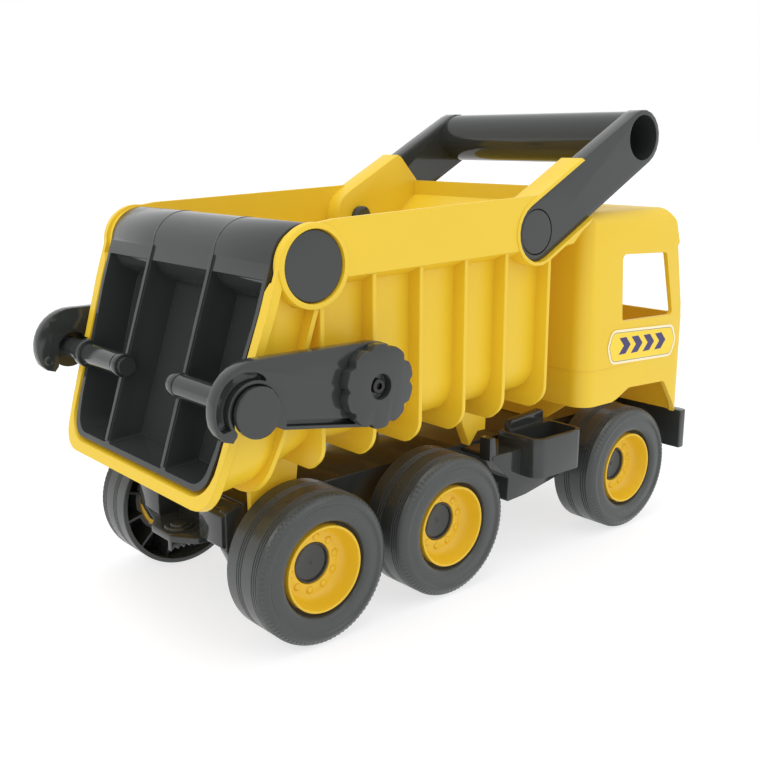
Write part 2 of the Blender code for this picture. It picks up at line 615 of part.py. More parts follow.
# ---- tailgate --------------------------------------------------------------
def tailgate(mats):
    pivot = (HINGE_X, 0.0, HINGE_Z)
    wide = GATE_HALF
    gate = gate_slab("tailgate", -2.6, GATE_N, 0.0)
    ribs = []
    for s in (-1, 1):
        ribs.append(lean_slab("rib", [(s * 30 - 1.2, 4.0), (s * 30 + 1.2, 4.0),
                                      (s * 30 + 1.2, 110.6), (s * 30 - 1.2, 110.6)], 10.0, 19.8))
    roll = rod_y("roll", HINGE_X, HINGE_Z, HINGE_R, -wide, wide, 32)
    add(gate, roll)
    # hollow the roll from the front and below, leaving the rolled sheet and its cheeks
    inner = rod_y("inner", HINGE_X, HINGE_Z, HINGE_R - 3.0, -wide + 4.0, wide - 4.0, 32)
    cut(gate, inner)
    nose = [(HINGE_X + 2.0, HINGE_Z + 40), (HINGE_X + 2.0, HINGE_Z - 4), lean(-2.7, 9, 0)[::2],
            lean(-2.7, 60, 0)[::2], (HINGE_X + 60, HINGE_Z - 60), (HINGE_X + 60, HINGE_Z + 40)]
    cut(gate, prism_y("nose", nose, -wide + 4.0, wide - 4.0))
    trim = [(HINGE_X + 11.0, HINGE_Z + 40), (HINGE_X + 11.0, HINGE_Z - 3),
            (HINGE_X + 3.0, HINGE_Z - 11), lean(-2.7, 12, 0)[::2], lean(-2.7, 60, 0)[::2],
            (HINGE_X + 60, HINGE_Z - 60), (HINGE_X + 60, HINGE_Z + 40)]
    cut(gate, prism_y("trim", trim, -FAR, FAR))
    pockets = []
    for y0, y1 in ((-28.6, 28.6), (31.4, 1.0), (-1.0, -31.4)):
        rings = []
        for n in (0.6, GATE_N + 4.0):
            draft = (n - 18.2) / 20.8
            rim = wide + 3.4 * draft - 2.8
            low = 114.6 + 8.6 * draft - 2.8
            if y0 > 0:
                lim = [(y0, 11.8), (rim, 11.8), (rim, 30.0), (rim - 6.0, 93.0), (rim - 10.0, low),
                       (y0, low)]
                rad = [0.5, 0.5, 20, 20, 13, 2]
            elif y0 < -20:
                lim = [(y0, 11.8), (y1, 11.8), (y1, low), (y0, low)]
                rad = [0.5, 0.5, 2, 2]
            else:
                lim = [(-rim, 11.8), (y1, 11.8), (y1, low), (-rim + 10.0, low),
                       (-rim + 6.0, 93.0), (-rim, 30.0)]
                rad = [0.5, 0.5, 2, 13, 20, 20]
            rings.append([lean(n, u, y) for y, u in fillet(lim, rad, 3)])
        pocket = bridge("pocket", rings)
        cut(pocket, rod_y("roll_skin", HINGE_X, HINGE_Z, HINGE_R, -wide, wide, 32))
        pockets.append(pocket)
    cut(gate, *pockets)
    add(gate, *ribs)
    bosses = []
    for s in (-1, 1):
        bosses.append(rod_y("peg_boss", PEG_X, PEG_Z, 6.9, s * 27.0, s * 33.5, 20))
        bosses.append(rod_y("peg_boss", PEG_X, PEG_Z, 8.0, s * (wide - 9.9),
                            s * (wide - 4.4), 20))
        bosses.append(rod_y("hub", HINGE_X, HINGE_Z, 11.0, s * (wide - 5.0), s * wide, 20))
    add(gate, *bosses)
    bores = []
    for s in (-1, 1):
        bores.append(rod_y("bore", PEG_X, PEG_Z, 5.1, s * 20.0, s * 36.0, 20))
        bores.append(rod_y("bore", PEG_X, PEG_Z, PEG_R + 0.1, s * (wide - 18.0), s * FAR, 20))
        bores.append(rod_y("bore", HINGE_X, HINGE_Z, 5.1, s * (wide - 18.0), s * FAR, 20))
    cut(gate, *bores)
    finish(gate, mats["black"], pivot)
    seat = TUB_HALF - 4.3
    for tag, s in (("left", 1), ("right", -1)):
        cap = turned_y("hinge_cap_" + tag, HINGE_X, HINGE_Z, [
            (wide - 7.5, 5.0), (seat, 5.0), (seat, 17.0), (TUB_HALF - 0.9, 17.0),
            (TUB_HALF - 0.3, 16.4)], 32, s)
        finish(cap, mats["black"], pivot)
        peg = turned_y("tailgate_peg_" + tag, PEG_X, PEG_Z, [
            (24.5, 5.0), (33.8, 5.0), (33.8, 7.0), (35.6, PEG_R), (ARM_OUT + 0.4, PEG_R),
            (ARM_OUT + 0.4, 11.9), (DISC_OUT - 0.5, 11.9), (DISC_OUT, 11.3)], 20, s)
        finish(peg, mats["black"], pivot)


# ---- latches ---------------------------------------------------------------
def latches(mats):
    pivot_xz = (KNOB_X, KNOB_Z)
    for tag, s in (("left", 1), ("right", -1)):
        pivot = (KNOB_X, 0.0, KNOB_Z)
        # outer edge: round at the knob, round over the hook, open below the peg
        hook_r, knob_r = 21.8, 21.0
        pts = []
        for k in range(15):
            t = math.radians(-96 + k * (186 / 14))
            pts.append((KNOB_X + knob_r * math.cos(t), KNOB_Z + knob_r * math.sin(t)))
        for k in range(12):
            t = math.radians(88 + k * (117 / 11))
            pts.append((PEG_X + hook_r * math.cos(t), PEG_Z + 1.5 + hook_r * math.sin(t)))
        tip = [(PEG_X - 16.5, 121.6), (PEG_X - 12.0, 120.2), (PEG_X - 9.6, 123.0)]
        pts += tip
        slot_r = PEG_R + 3.2
        for k in range(13):
            t = math.radians(180 - k * 15)
            pts.append((PEG_X + slot_r * math.cos(t), PEG_Z + slot_r * math.sin(t)))
        pts += [(PEG_X + slot_r + 0.6, 124.0), (PEG_X + slot_r + 6.0, 121.4)]
        arm = prism_y("latch_arm_" + tag, pts, s * ARM_IN, s * ARM_OUT)
        rec = fillet([(PEG_X + 20, 125.5), (KNOB_X - 20, 119.0), (KNOB_X - 20, 121.0),
                      (PEG_X + 20, 128.2)], 0.6, 2)
        cut(arm, prism_y("rec", rec, s * (ARM_IN + 2.4), s * FAR),
            rod_y("bore", *pivot_xz, 5.4, s * 60, s * FAR, 20))
        finish(arm, mats["black"], pivot)
        lobes = []
        for k in range(50):
            t = 2 * math.pi * k / 50
            r = KNOB_R + 1.0 * math.cos(10 * t)
            lobes.append((KNOB_X + r * math.cos(t), KNOB_Z + r * math.sin(t)))
        knob = prism_y("latch_knob_" + tag, lobes, s * (ARM_OUT + 0.1), s * KNOB_OUT)
        add(knob, rod_y("hub", *pivot_xz, 5.1, s * (ARM_IN + 0.1), s * (ARM_OUT + 2.0), 20))
        cut(knob, rod_y("well", *pivot_xz, 6.8, s * (KNOB_OUT - 4.0), s * FAR, 28),
            rod_y("bore", *pivot_xz, 2.3, s * 60, s * FAR, 20))
        finish(knob, mats["black"], pivot)
        screw = turned_y("latch_screw_" + tag, *pivot_xz, [
            (TUB_SKIN + 1.5, 1.3), (TUB_SKIN + 2.6, 1.8), (KNOB_OUT - 3.7, 1.8),
            (KNOB_OUT - 3.7, 4.2), (KNOB_OUT - 2.2, 4.0)], 16, s)
        finish(screw, mats["steel"], (TIP_X, 0.0, TIP_Z))


# ---- handle ----------------------------------------------------------------
def handle(mats):
    a = math.atan2(HANDLE_Z - EAR_Z, HANDLE_X - EAR_X)
    reach = math.hypot(HANDLE_X - EAR_X, HANDLE_Z - EAR_Z)
    ca, sa = math.cos(a), math.sin(a)

    def along(d, o):
        return (EAR_X + d * ca - o * sa, EAR_Z + d * sa + o * ca)

    def stadium(r):
        pts = [along(-r * math.sin(k * math.pi / 10), r * math.cos(k * math.pi / 10))
               for k in range(11)]
        pts += [along(reach + r * math.sin(k * math.pi / 10), -r * math.cos(k * math.pi / 10))
                for k in range(11)]
        return pts

    grip = rod_y("handle", HANDLE_X, HANDLE_Z, HANDLE_R, -HAND_IN - 1, HAND_IN + 1, 32)
    arms = [prism_y("arm", stadium(HAND_HALF), s * HAND_IN, s * HAND_OUT) for s in (-1, 1)]
    add(grip, *arms)
    cuts = [rod_y("bore", HANDLE_X, HANDLE_Z, HANDLE_R - 2.2, -FAR, FAR, 28)]
    for s in (-1, 1):
        cuts.append(rod_y("plug_seat", EAR_X, EAR_Z, PLUG_R + 0.3, s * (HAND_OUT - 3.0),
                          s * FAR, 24))
        cuts.append(rod_y("plug_bore", EAR_X, EAR_Z, 6.3, s * 60, s * FAR, 20))
    cut(grip, *cuts)
    finish(grip, mats["black"], (TIP_X, 0.0, TIP_Z))
    for tag, s in (("left", 1), ("right", -1)):
        plug = turned_y("handle_plug_" + tag, EAR_X, EAR_Z, [
            (HAND_IN - 7.8, 5.4), (HAND_IN - 6.6, 7.0), (HAND_IN - 3.5, 7.0),
            (HAND_IN - 3.5, 6.0), (HAND_OUT - 2.7, 6.0), (HAND_OUT - 2.7, PLUG_R),
            (HAND_OUT - 0.6, PLUG_R), (HAND_OUT, PLUG_R - 0.6)], 20, s)
        finish(plug, mats["black"], (TIP_X, 0.0, TIP_Z))


def build():
    clear_scene()
    mats = {
        "yellow": plastic("yellow_plastic", (0.90, 0.60, 0.03), 0.42),
        "rim": plastic("rim_yellow", (0.80, 0.50, 0.02), 0.45),
        "black": plastic("black_gloss", (0.028, 0.031, 0.032), 0.28),
        "rubber": plastic("tyre_black", (0.030, 0.033, 0.034), 0.45),
        "steel": plastic("steel", (0.55, 0.55, 0.56), 0.3, 1.0),
        "label": plastic("label_film", (0.86, 0.70, 0.30), 0.35),
    }
    chassis(mats)
    axles(mats)
    for tag, x in zip(("rear", "middle", "front"), AXLE_X):
        for side, s in (("left", 1.0), ("right", -1.0)):
            wheel(tag + "_" + side, x, s, mats)
    cab(mats)
    tub(mats)
    tailgate(mats)
    latches(mats)
    handle(mats)


build()
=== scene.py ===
"""Toy dump truck, seen in a plain pale studio.

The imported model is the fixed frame.  Every shown piece is a finer version of
its CAD node, in the same place, with moulded edges and worked surfaces.
Drawing is in millimetres in the axle frame, as the CAD is: x = 0 on the rear
axle, z = 0 on the floor.
"""

import json
import math

import bmesh
import bpy
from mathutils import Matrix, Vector


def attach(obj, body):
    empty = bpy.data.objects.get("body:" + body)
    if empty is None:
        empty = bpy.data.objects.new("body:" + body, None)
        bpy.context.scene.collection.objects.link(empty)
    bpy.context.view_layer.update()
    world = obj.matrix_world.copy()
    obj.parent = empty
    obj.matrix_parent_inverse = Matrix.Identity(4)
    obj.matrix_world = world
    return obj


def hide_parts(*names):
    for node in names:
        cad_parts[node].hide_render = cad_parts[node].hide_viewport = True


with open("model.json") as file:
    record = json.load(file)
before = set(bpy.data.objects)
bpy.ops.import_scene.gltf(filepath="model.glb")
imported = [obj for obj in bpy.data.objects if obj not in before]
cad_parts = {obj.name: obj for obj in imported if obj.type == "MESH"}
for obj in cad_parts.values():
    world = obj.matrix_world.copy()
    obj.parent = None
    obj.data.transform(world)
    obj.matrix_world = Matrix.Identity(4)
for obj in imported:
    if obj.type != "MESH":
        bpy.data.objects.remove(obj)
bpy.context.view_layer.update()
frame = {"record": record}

MM = 0.001
FINE = 2.0                         # how much finer the round shapes are than the CAD
EDGE = 0.5                         # rounded edge of every moulded piece

# ---- overall sizes -------------------------------------------------------
TYRE_R = 40.0                      # tyre radius
TYRE_W = 30.4                      # tyre width
TUB_HALF = 86.0                    # half width of the tub's upper band
TYRE_OUT = TUB_HALF - 0.9          # outer sidewall of every tyre, from centre
AXLE_X = (0.0, 2 * TYRE_R + 9.15, 248.95)      # rear, middle and front axle
TUB_WALL = 3.0                     # moulded wall of the tub
CAB_HALF = TUB_HALF - 2.0          # half width of the cab
CAB_REAR = 198.5                   # rear wall of the cab
CAB_TOP = 207.0                    # roof height
CAB_WALL = 3.0
BUMPER_FRONT = 312.0               # foremost face
HANDLE_R = 15.6                    # handle tube radius
HANDLE_X = 244.6                   # centre of the handle tube
HANDLE_Z = CAB_TOP + 25.316 + 1.14 * HANDLE_R
GAP = 0.3                          # play between touching pieces

# ---- derived and local sizes ---------------------------------------------
AXLE_Z = 40.0                      # height of the axles in the drawing
AXLE_R = 3.0
TYRE_IN = TYRE_OUT - TYRE_W
RIM_R = TYRE_R * 0.576
RIM_FACE = TYRE_OUT - 12.8
CAP_R = TYRE_R * 0.27

SLOPE = math.radians(18.0)         # lean of the tub's rear opening
HINGE_X, HINGE_Z = -6.4, 192.5     # tailgate hinge axis
HINGE_R = 19.4                     # rolled top of the tailgate
FLANGE_N = 19.1                    # flange face, out from the hinge axis
FLANGE_T = 4.5
GATE_N = 18.8                      # outer face of the tailgate, likewise
GATE_HALF = TUB_HALF - 7.6         # half width of the tailgate
GATE_BACK = -2.7                   # just behind the tailgate's inner face
POCKET_WALL = 2.8                  # rim round the tailgate's pockets
GATE_RIB_Y = 30                    # ribs between the pockets

TIP_X, TIP_Z = -10.0, 58.0         # tipping axis of the tub
TIP_R = 4.0
BRACKET_IN, BRACKET_OUT = 46.0, 49.5

TUB_FRONT = 166.0                  # lower front wall
TUB_NOSE = TUB_FRONT + 36.0        # upper front wall, over the cab's roof edge
TUB_SKIN = TUB_HALF - 10.0         # wall between the ribs
RIB_T = 2.6
RIB_HALF = TUB_HALF - 1.5
RIB_X = (-1.0, 31.2, 62.4, 94.6, 125.7, TUB_FRONT - 4.5)

PEG_X, PEG_Z = -47.2, 132.6        # tailgate pegs
PEG_R = 6.0
KNOB_X, KNOB_Z = 20.0, 134.5       # latch pivot
ARM_IN, ARM_OUT = TUB_HALF + 3.6, TUB_HALF + 10.0
DISC_OUT = ARM_OUT + 3.2
KNOB_OUT = ARM_OUT + 6.4
KNOB_R = 19.6

EAR_X = 150.0                      # plug that holds the handle
HAND_OUT = TUB_HALF - 2.1
HAND_IN = HAND_OUT - 9.9
HAND_HALF = HANDLE_R + 0.8         # half the height of the handle's arms
EAR_Z = CAB_TOP - 26.696 + 1.14 * HAND_HALF
PLUG_R = HANDLE_R - 3.0

RAIL_IN, RAIL_OUT = 38.0, 44.5     # chassis side rails
DECK_TOP, DECK_T = 70.0, 3.0
RAIL_LOW = 34.5
TAIL_X = -35.0                     # rear face of the chassis
BOX_X0, BOX_X1 = 157.0, 200.0      # side pocket
BOX_OUT = TUB_HALF - 1.0
GUARD_OUT = TUB_HALF - 15.0        # wheel guard and floor under the pocket

SCREW_X = {"rear": 216.0, "front": 278.0}      # screws that hold the cab
AXLES = tuple(zip(("rear", "middle", "front"), AXLE_X))
SIDES = (("left", 1), ("right", -1))
FAR = TUB_HALF + 30.0              # well outside everything
REAR_MOST = PEG_X - 22.0           # latch hooks reach this far back
SHIFT_X = -(REAR_MOST + BUMPER_FRONT) / 2.0


# ---- small modelling kit ---------------------------------------------------
def solid(name, verts, faces):
    mesh = bpy.data.meshes.new("v_" + name)
    pts = [Vector(v) * MM for v in verts]
    mesh.from_pydata(pts, [], faces)
    bm = bmesh.new()
    bm.from_mesh(mesh)
    bmesh.ops.recalc_face_normals(bm, faces=bm.faces)
    if bm.calc_volume(signed=True) < 0:
        bmesh.ops.reverse_faces(bm, faces=bm.faces)
    bm.to_mesh(mesh)
    bm.free()
    obj = bpy.data.objects.new("v_" + name, mesh)
    bpy.context.scene.collection.objects.link(obj)
    return obj


def bridge(name, rings):
    """Closed solid through equally long rings of points."""
    count = len(rings[0])
    verts = [p for ring in rings for p in ring]
    faces = [list(range(count))[::-1]]
    for k in range(len(rings) - 1):
        a, b = k * count, (k + 1) * count
        for i in range(count):
            j = (i + 1) % count
            faces.append([a + i, a + j, b + j, b + i])
    last = (len(rings) - 1) * count
    faces.append([last + i for i in range(count)])
    return solid(name, verts, faces)


def inset(outline, e):
    """The outline pulled in by e all round."""
    count = len(outline)
    area = sum(outline[i - 1][0] * outline[i][1] - outline[i][0] * outline[i - 1][1]
               for i in range(count))
    sign = 1.0 if area > 0 else -1.0
    out = []
    for i in range(count):
        p = Vector(outline[i])
        before = p - Vector(outline[i - 1])
        after = Vector(outline[(i + 1) % count]) - p
        if before.length < 1e-6:
            before = after
        if after.length < 1e-6:
            after = before
        before.normalize()
        after.normalize()
        n1 = Vector((before.y, -before.x)) * sign
        n2 = Vector((after.y, -after.x)) * sign
        mid = n1 + n2
        mid = n1.copy() if mid.length < 1e-4 else mid.normalized()
        p = p - mid * (e / max(0.5, mid.dot(n1)))
        out.append((p.x, p.y))
    return out


def prism(name, outline, t0, t1, place, edge):
    """Extrude an outline from t0 to t1 with rounded end edges."""
    xs = [p[0] for p in outline]
    zs = [p[1] for p in outline]
    least = min(max(xs) - min(xs), max(zs) - min(zs), abs(t1 - t0))
    e = min(edge, 0.22 * least)
    if e < 0.05:
        return bridge(name, [[place(a, b, t) for a, b in outline] for t in (t0, t1)])
    sign = 1.0 if t1 > t0 else -1.0
    steps = [(e, 0.0), (0.293 * e, 0.293 * e), (0.0, e)]
    rings = []
    for pull, deep in steps:
        ring = inset(outline, pull) if pull else outline
        rings.append([place(a, b, t0 + sign * deep) for a, b in ring])
    for pull, deep in steps[::-1]:
        ring = inset(outline, pull) if pull else outline
        rings.append([place(a, b, t1 - sign * deep) for a, b in ring])
    return bridge(name, rings)


def fillet(pts, radii, seg=3):
    """Round the corners of a flat outline."""
    seg = int(round(seg * FINE))
    out = []
    count = len(pts)
    for i in range(count):
        r = radii[i] if isinstance(radii, (list, tuple)) else radii
        p = Vector(pts[i])
        a = Vector(pts[i - 1]) - p
        b = Vector(pts[(i + 1) % count]) - p
        if r <= 0:
            out.append(tuple(p))
            continue
        angle = a.angle(b)
        if angle > math.pi - 0.02:
            out.append(tuple(p))
            continue
        limit = 0.49 * min(a.length, b.length)
        d = min(r / math.tan(angle / 2), limit)
        r = d * math.tan(angle / 2)
        centre = p + (a.normalized() + b.normalized()).normalized() * (r / math.sin(angle / 2))
        s = p + a.normalized() * d - centre
        e = p + b.normalized() * d - centre
        turn = math.atan2(s.x * e.y - s.y * e.x, s.dot(e))
        for k in range(seg + 1):
            t = turn * k / seg
            out.append((centre.x + s.x * math.cos(t) - s.y * math.sin(t),
                        centre.y + s.x * math.sin(t) + s.y * math.cos(t)))
    return out


def prism_y(name, outline, y0, y1, edge=EDGE):
    return prism(name, outline, y0, y1, lambda a, b, t: (a, t, b), edge)


def prism_x(name, outline, x0, x1, edge=EDGE):
    return prism(name, outline, x0, x1, lambda a, b, t: (t, a, b), edge)


def prism_z(name, outline, z0, z1, edge=EDGE):
    return prism(name, outline, z0, z1, lambda a, b, t: (a, b, t), edge)


def box(name, x0, x1, y0, y1, z0, z1, edge=EDGE):
    return prism_z(name, [(x0, y0), (x1, y0), (x1, y1), (x0, y1)], z0, z1, edge)


def circle(cx, cz, r, seg=32):
    seg = 4 * int(round(seg * FINE / 4))
    step = 2 * math.pi / seg
    return [(cx + r * math.cos(i * step), cz + r * math.sin(i * step)) for i in range(seg)]


def rod_y(name, cx, cz, r, y0, y1, seg=24, edge=EDGE):
    return prism_y(name, circle(cx, cz, r, seg), y0, y1, edge)


def spin_y(name, cx, cz, profile, seg=96, side=1.0, wave=None):
    """Turn a closed (radius, y) outline about an axis along y."""
    rings = []
    for i in range(seg):
        t = 2 * math.pi * i / seg
        ring = []
        for k, (r, y) in enumerate(profile):
            rr, yy = wave(i, k, r, y) if wave else (r, y)
            ring.append((cx + rr * math.cos(t), side * yy, cz + rr * math.sin(t)))
        rings.append(ring)
    count = len(profile)
    verts = [p for ring in rings for p in ring]
    faces = []
    for k in range(seg):
        a, b = k * count, ((k + 1) % seg) * count
        for i in range(count):
            j = (i + 1) % count
            faces.append([a + i, a + j, b + j, b + i])
    return solid(name, verts, faces)


def turned_y(name, cx, cz, steps, seg=24, side=1.0):
    """Solid of revolution given as (y, radius) stations along the axis."""
    return bridge(name, [[(a, side * y, b) for a, b in circle(cx, cz, r, seg)]
                         for y, r in steps])


def combine(base, others, how):
    for other in others:
        mod = base.modifiers.new("step", "BOOLEAN")
        mod.operation = how
        mod.solver = "EXACT"
        mod.object = other
        graph = bpy.context.evaluated_depsgraph_get()
        mesh = bpy.data.meshes.new_from_object(base.evaluated_get(graph))
        base.modifiers.clear()
        base.data = mesh
        bpy.data.objects.remove(other, do_unlink=True)
    return base


def add(base, *others):
    return combine(base, others, "UNION")


def cut(base, *others):
    return combine(base, others, "DIFFERENCE")


def common(base, other):
    return combine(base, [other], "INTERSECT")


def merge(base, *others):
    """Put loose detail into the same mesh."""
    bm = bmesh.new()
    bm.from_mesh(base.data)
    for other in others:
        bm.from_mesh(other.data)
        bpy.data.objects.remove(other, do_unlink=True)
    bm.to_mesh(base.data)
    bm.free()
    return base


def paint(obj, index):
    """Give every face of the piece the same material number."""
    for face in obj.data.polygons:
        face.material_index = index
    return obj


BODY_OF = {node: body for body, nodes in frame["record"]["behaviour"]["bodies"].items()
           for node in nodes}


def finish(obj, mat, angle=32.0):
    """Give the piece its material and body, and let it stand for its CAD node."""
    node = obj.name[len("v_"):]
    bm = bmesh.new()
    bm.from_mesh(obj.data)
    bmesh.ops.remove_doubles(bm, verts=bm.verts, dist=0.002 * MM)
    bmesh.ops.dissolve_degenerate(bm, edges=bm.edges, dist=0.002 * MM)
    shift = Vector((SHIFT_X, 0.0, 0.0)) * MM
    for v in bm.verts:
        v.co = v.co + shift
    bm.to_mesh(obj.data)
    bm.free()
    several = mat if isinstance(mat, list) else [mat]
    kept = [face.material_index for face in obj.data.polygons]
    obj.data.materials.clear()
    for one in several:
        obj.data.materials.append(one)
    for face, index in zip(obj.data.polygons, kept):
        face.material_index = min(index, len(several) - 1)
    obj.data.shade_smooth()
    obj.data.set_sharp_from_angle(angle=math.radians(angle))
    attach(obj, BODY_OF[node])
    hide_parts(node)
    return obj


def lean(n, u, y):
    """Point given out from and down along the tub's sloping rear face."""
    return (HINGE_X - n * math.cos(SLOPE) - u * math.sin(SLOPE), y,
            HINGE_Z + n * math.sin(SLOPE) - u * math.cos(SLOPE))


def lean_slab(name, outline, n0, n1):
    """Slab parallel to the rear face; outline is (y, u) pairs."""
    return bridge(name, [[lean(n, u, y) for y, u in outline] for n in (n0, n1)])


def along(d, o):
    """Point at distance d along the handle's arm from its plug, and o across it."""
    a = math.atan2(HANDLE_Z - EAR_Z, HANDLE_X - EAR_X)
    ca, sa = math.cos(a), math.sin(a)
    return (EAR_X + d * ca - o * sa, EAR_Z + d * sa + o * ca)


def arm_end(r, steps=10):
    """Half circle of radius r round the plug, at the end of the handle's arm."""
    return [along(-r * math.sin(k * math.pi / steps), r * math.cos(k * math.pi / steps))
            for k in range(steps + 1)]


def rib_low(x):
    """Lower edge of the ribs and of the rear flange."""
    if x > 0:
        return 91.0 + x * 0.024
    return max(91.0 + x * 0.25, 82.8 + (x + 33.0) * 0.06)


def skin_low(x):
    """Underside of the tub's floor between the ribs."""
    if x > 0:
        return rib_low(x) + 8.5
    return max(99.5 + x * 0.35, 87.9 + (x + 33.0) * 0.16)


def ledge_z(x):
    return 184.2 + 0.0286 * x


def rim_z(x):
    return 213.3 + 0.04 * x


# ---- wheels --------------------------------------------------------------
def tyre_profile():
    out, inn = TYRE_OUT, TYRE_IN
    seat = RIM_R + GAP
    pts = [(TYRE_R - 0.4, inn), (TYRE_R, inn + 0.4)]
    for group in (21.4, 8.6):
        for k in range(3):
            y = out - group + 1.7 * k
            pts += [(TYRE_R, y - 0.5), (TYRE_R - 0.55, y - 0.22),
                    (TYRE_R - 0.55, y + 0.22), (TYRE_R, y + 0.5)]
    knurl = len(pts)
    pts += [(TYRE_R, out - 4.2), (TYRE_R - 0.35, out - 3.1), (TYRE_R - 0.9, out - 2.1),
            (TYRE_R - 1.7, out - 1.3), (TYRE_R - 2.7, out - 0.75)]
    last = len(pts)
    pts += [(TYRE_R - 3.6, out - 0.4), (TYRE_R - 4.3, out - 0.1), (TYRE_R - 5.0, out),
            (TYRE_R - 5.6, out - 0.12), (TYRE_R - 6.0, out - 0.55), (TYRE_R - 6.6, out - 0.95),
            (TYRE_R - 7.6, out - 1.0), (31.0, out - 0.75), (28.6, out - 0.6),
            (27.0, out - 0.75), (26.0, out - 1.15), (25.3, out - 1.9), (24.9, out - 2.9),
            (24.6, out - 4.2), (24.2, out - 5.2), (seat, out - 5.6), (seat, RIM_FACE - 5.0),
            (seat + 2.2, RIM_FACE - 5.0), (seat + 2.2, out - 7.0), (29.0, out - 4.0),
            (TYRE_R - 2.6, out - 4.6), (TYRE_R - 2.6, inn)]
    return pts, knurl, last


def wheel(tag, cx, side, mats):
    out, inn = TYRE_OUT, TYRE_IN
    pts, knurl, last = tyre_profile()

    def wave(i, k, r, y):
        if knurl < k < last:
            return (r - 0.34, y - 0.22) if i % 2 else (r, y)
        return r, y

    tyre = spin_y("tyre_" + tag, cx, AXLE_Z, pts, seg=176, side=side, wave=wave)
    webs = []
    for k in range(12):
        t = 2 * math.pi * (k + 0.5) / 12
        c, s = math.cos(t), math.sin(t)
        rings = []
        for r in (RIM_R + 2.0, TYRE_R - 2.2):
            ring = []
            for o, y in ((-0.7, inn + 7.0), (0.7, inn + 7.0), (0.9, out - 4.3), (-0.9, out - 4.3)):
                ring.append((cx + r * c - o * s, side * y, AXLE_Z + r * s + o * c))
            rings.append(ring)
        webs.append(bridge("web", rings))
    merge(tyre, *webs)
    lip, face = RIM_R - 0.2, RIM_FACE
    rim = spin_y("rim_" + tag, cx, AXLE_Z, [
        (AXLE_R + 0.2, inn + 1.0), (AXLE_R + 4.5, inn + 1.0), (AXLE_R + 4.5, face - 6.0),
        (lip, face - 6.0), (lip, out - 2.3), (lip - 0.25, out - 1.95), (lip - 0.9, out - 1.85),
        (lip - 1.35, out - 2.2), (lip - 1.8, out - 4.0), (lip - 2.5, face + 5.4),
        (lip - 3.4, face + 3.0), (lip - 4.3, face + 1.5), (lip - 5.3, face + 0.6),
        (lip - 6.4, face + 0.1), (lip - 7.4, face), (CAP_R + 0.9, face),
        (CAP_R + 0.4, face - 0.25), (CAP_R + 0.3, face - 0.7), (CAP_R + 0.3, face - 3.4),
        (AXLE_R + 0.2, face - 3.4)], seg=96, side=side)
    nuts = []
    for k in range(10):
        t = 2 * math.pi * (k + 0.25) / 10
        x, z = cx + 14.1 * math.cos(t), AXLE_Z + 14.1 * math.sin(t)
        nuts.append(turned_y("nut", x, z, [
            (face - 0.4, 2.05), (face + 0.35, 1.95), (face + 0.75, 1.6), (face + 0.95, 0.9)],
            10, side))
    merge(rim, *nuts)
    cap = spin_y("hub_cap_" + tag, cx, AXLE_Z, [
        (0.02, face - 3.3), (CAP_R, face - 3.3), (CAP_R, face - 1.0), (CAP_R - 0.25, face - 0.7),
        (CAP_R - 0.75, face - 0.7), (CAP_R - 1.0, face - 1.0), (CAP_R - 1.25, face - 2.3),
        (CAP_R - 1.6, face - 2.5), (1.3, face - 2.45), (1.0, face - 2.25), (0.02, face - 2.2)],
        seg=64, side=side)
    finish(tyre, mats["rubber"], angle=28.0)
    finish(rim, mats["rim"], angle=34.0)
    finish(cap, mats["black"])


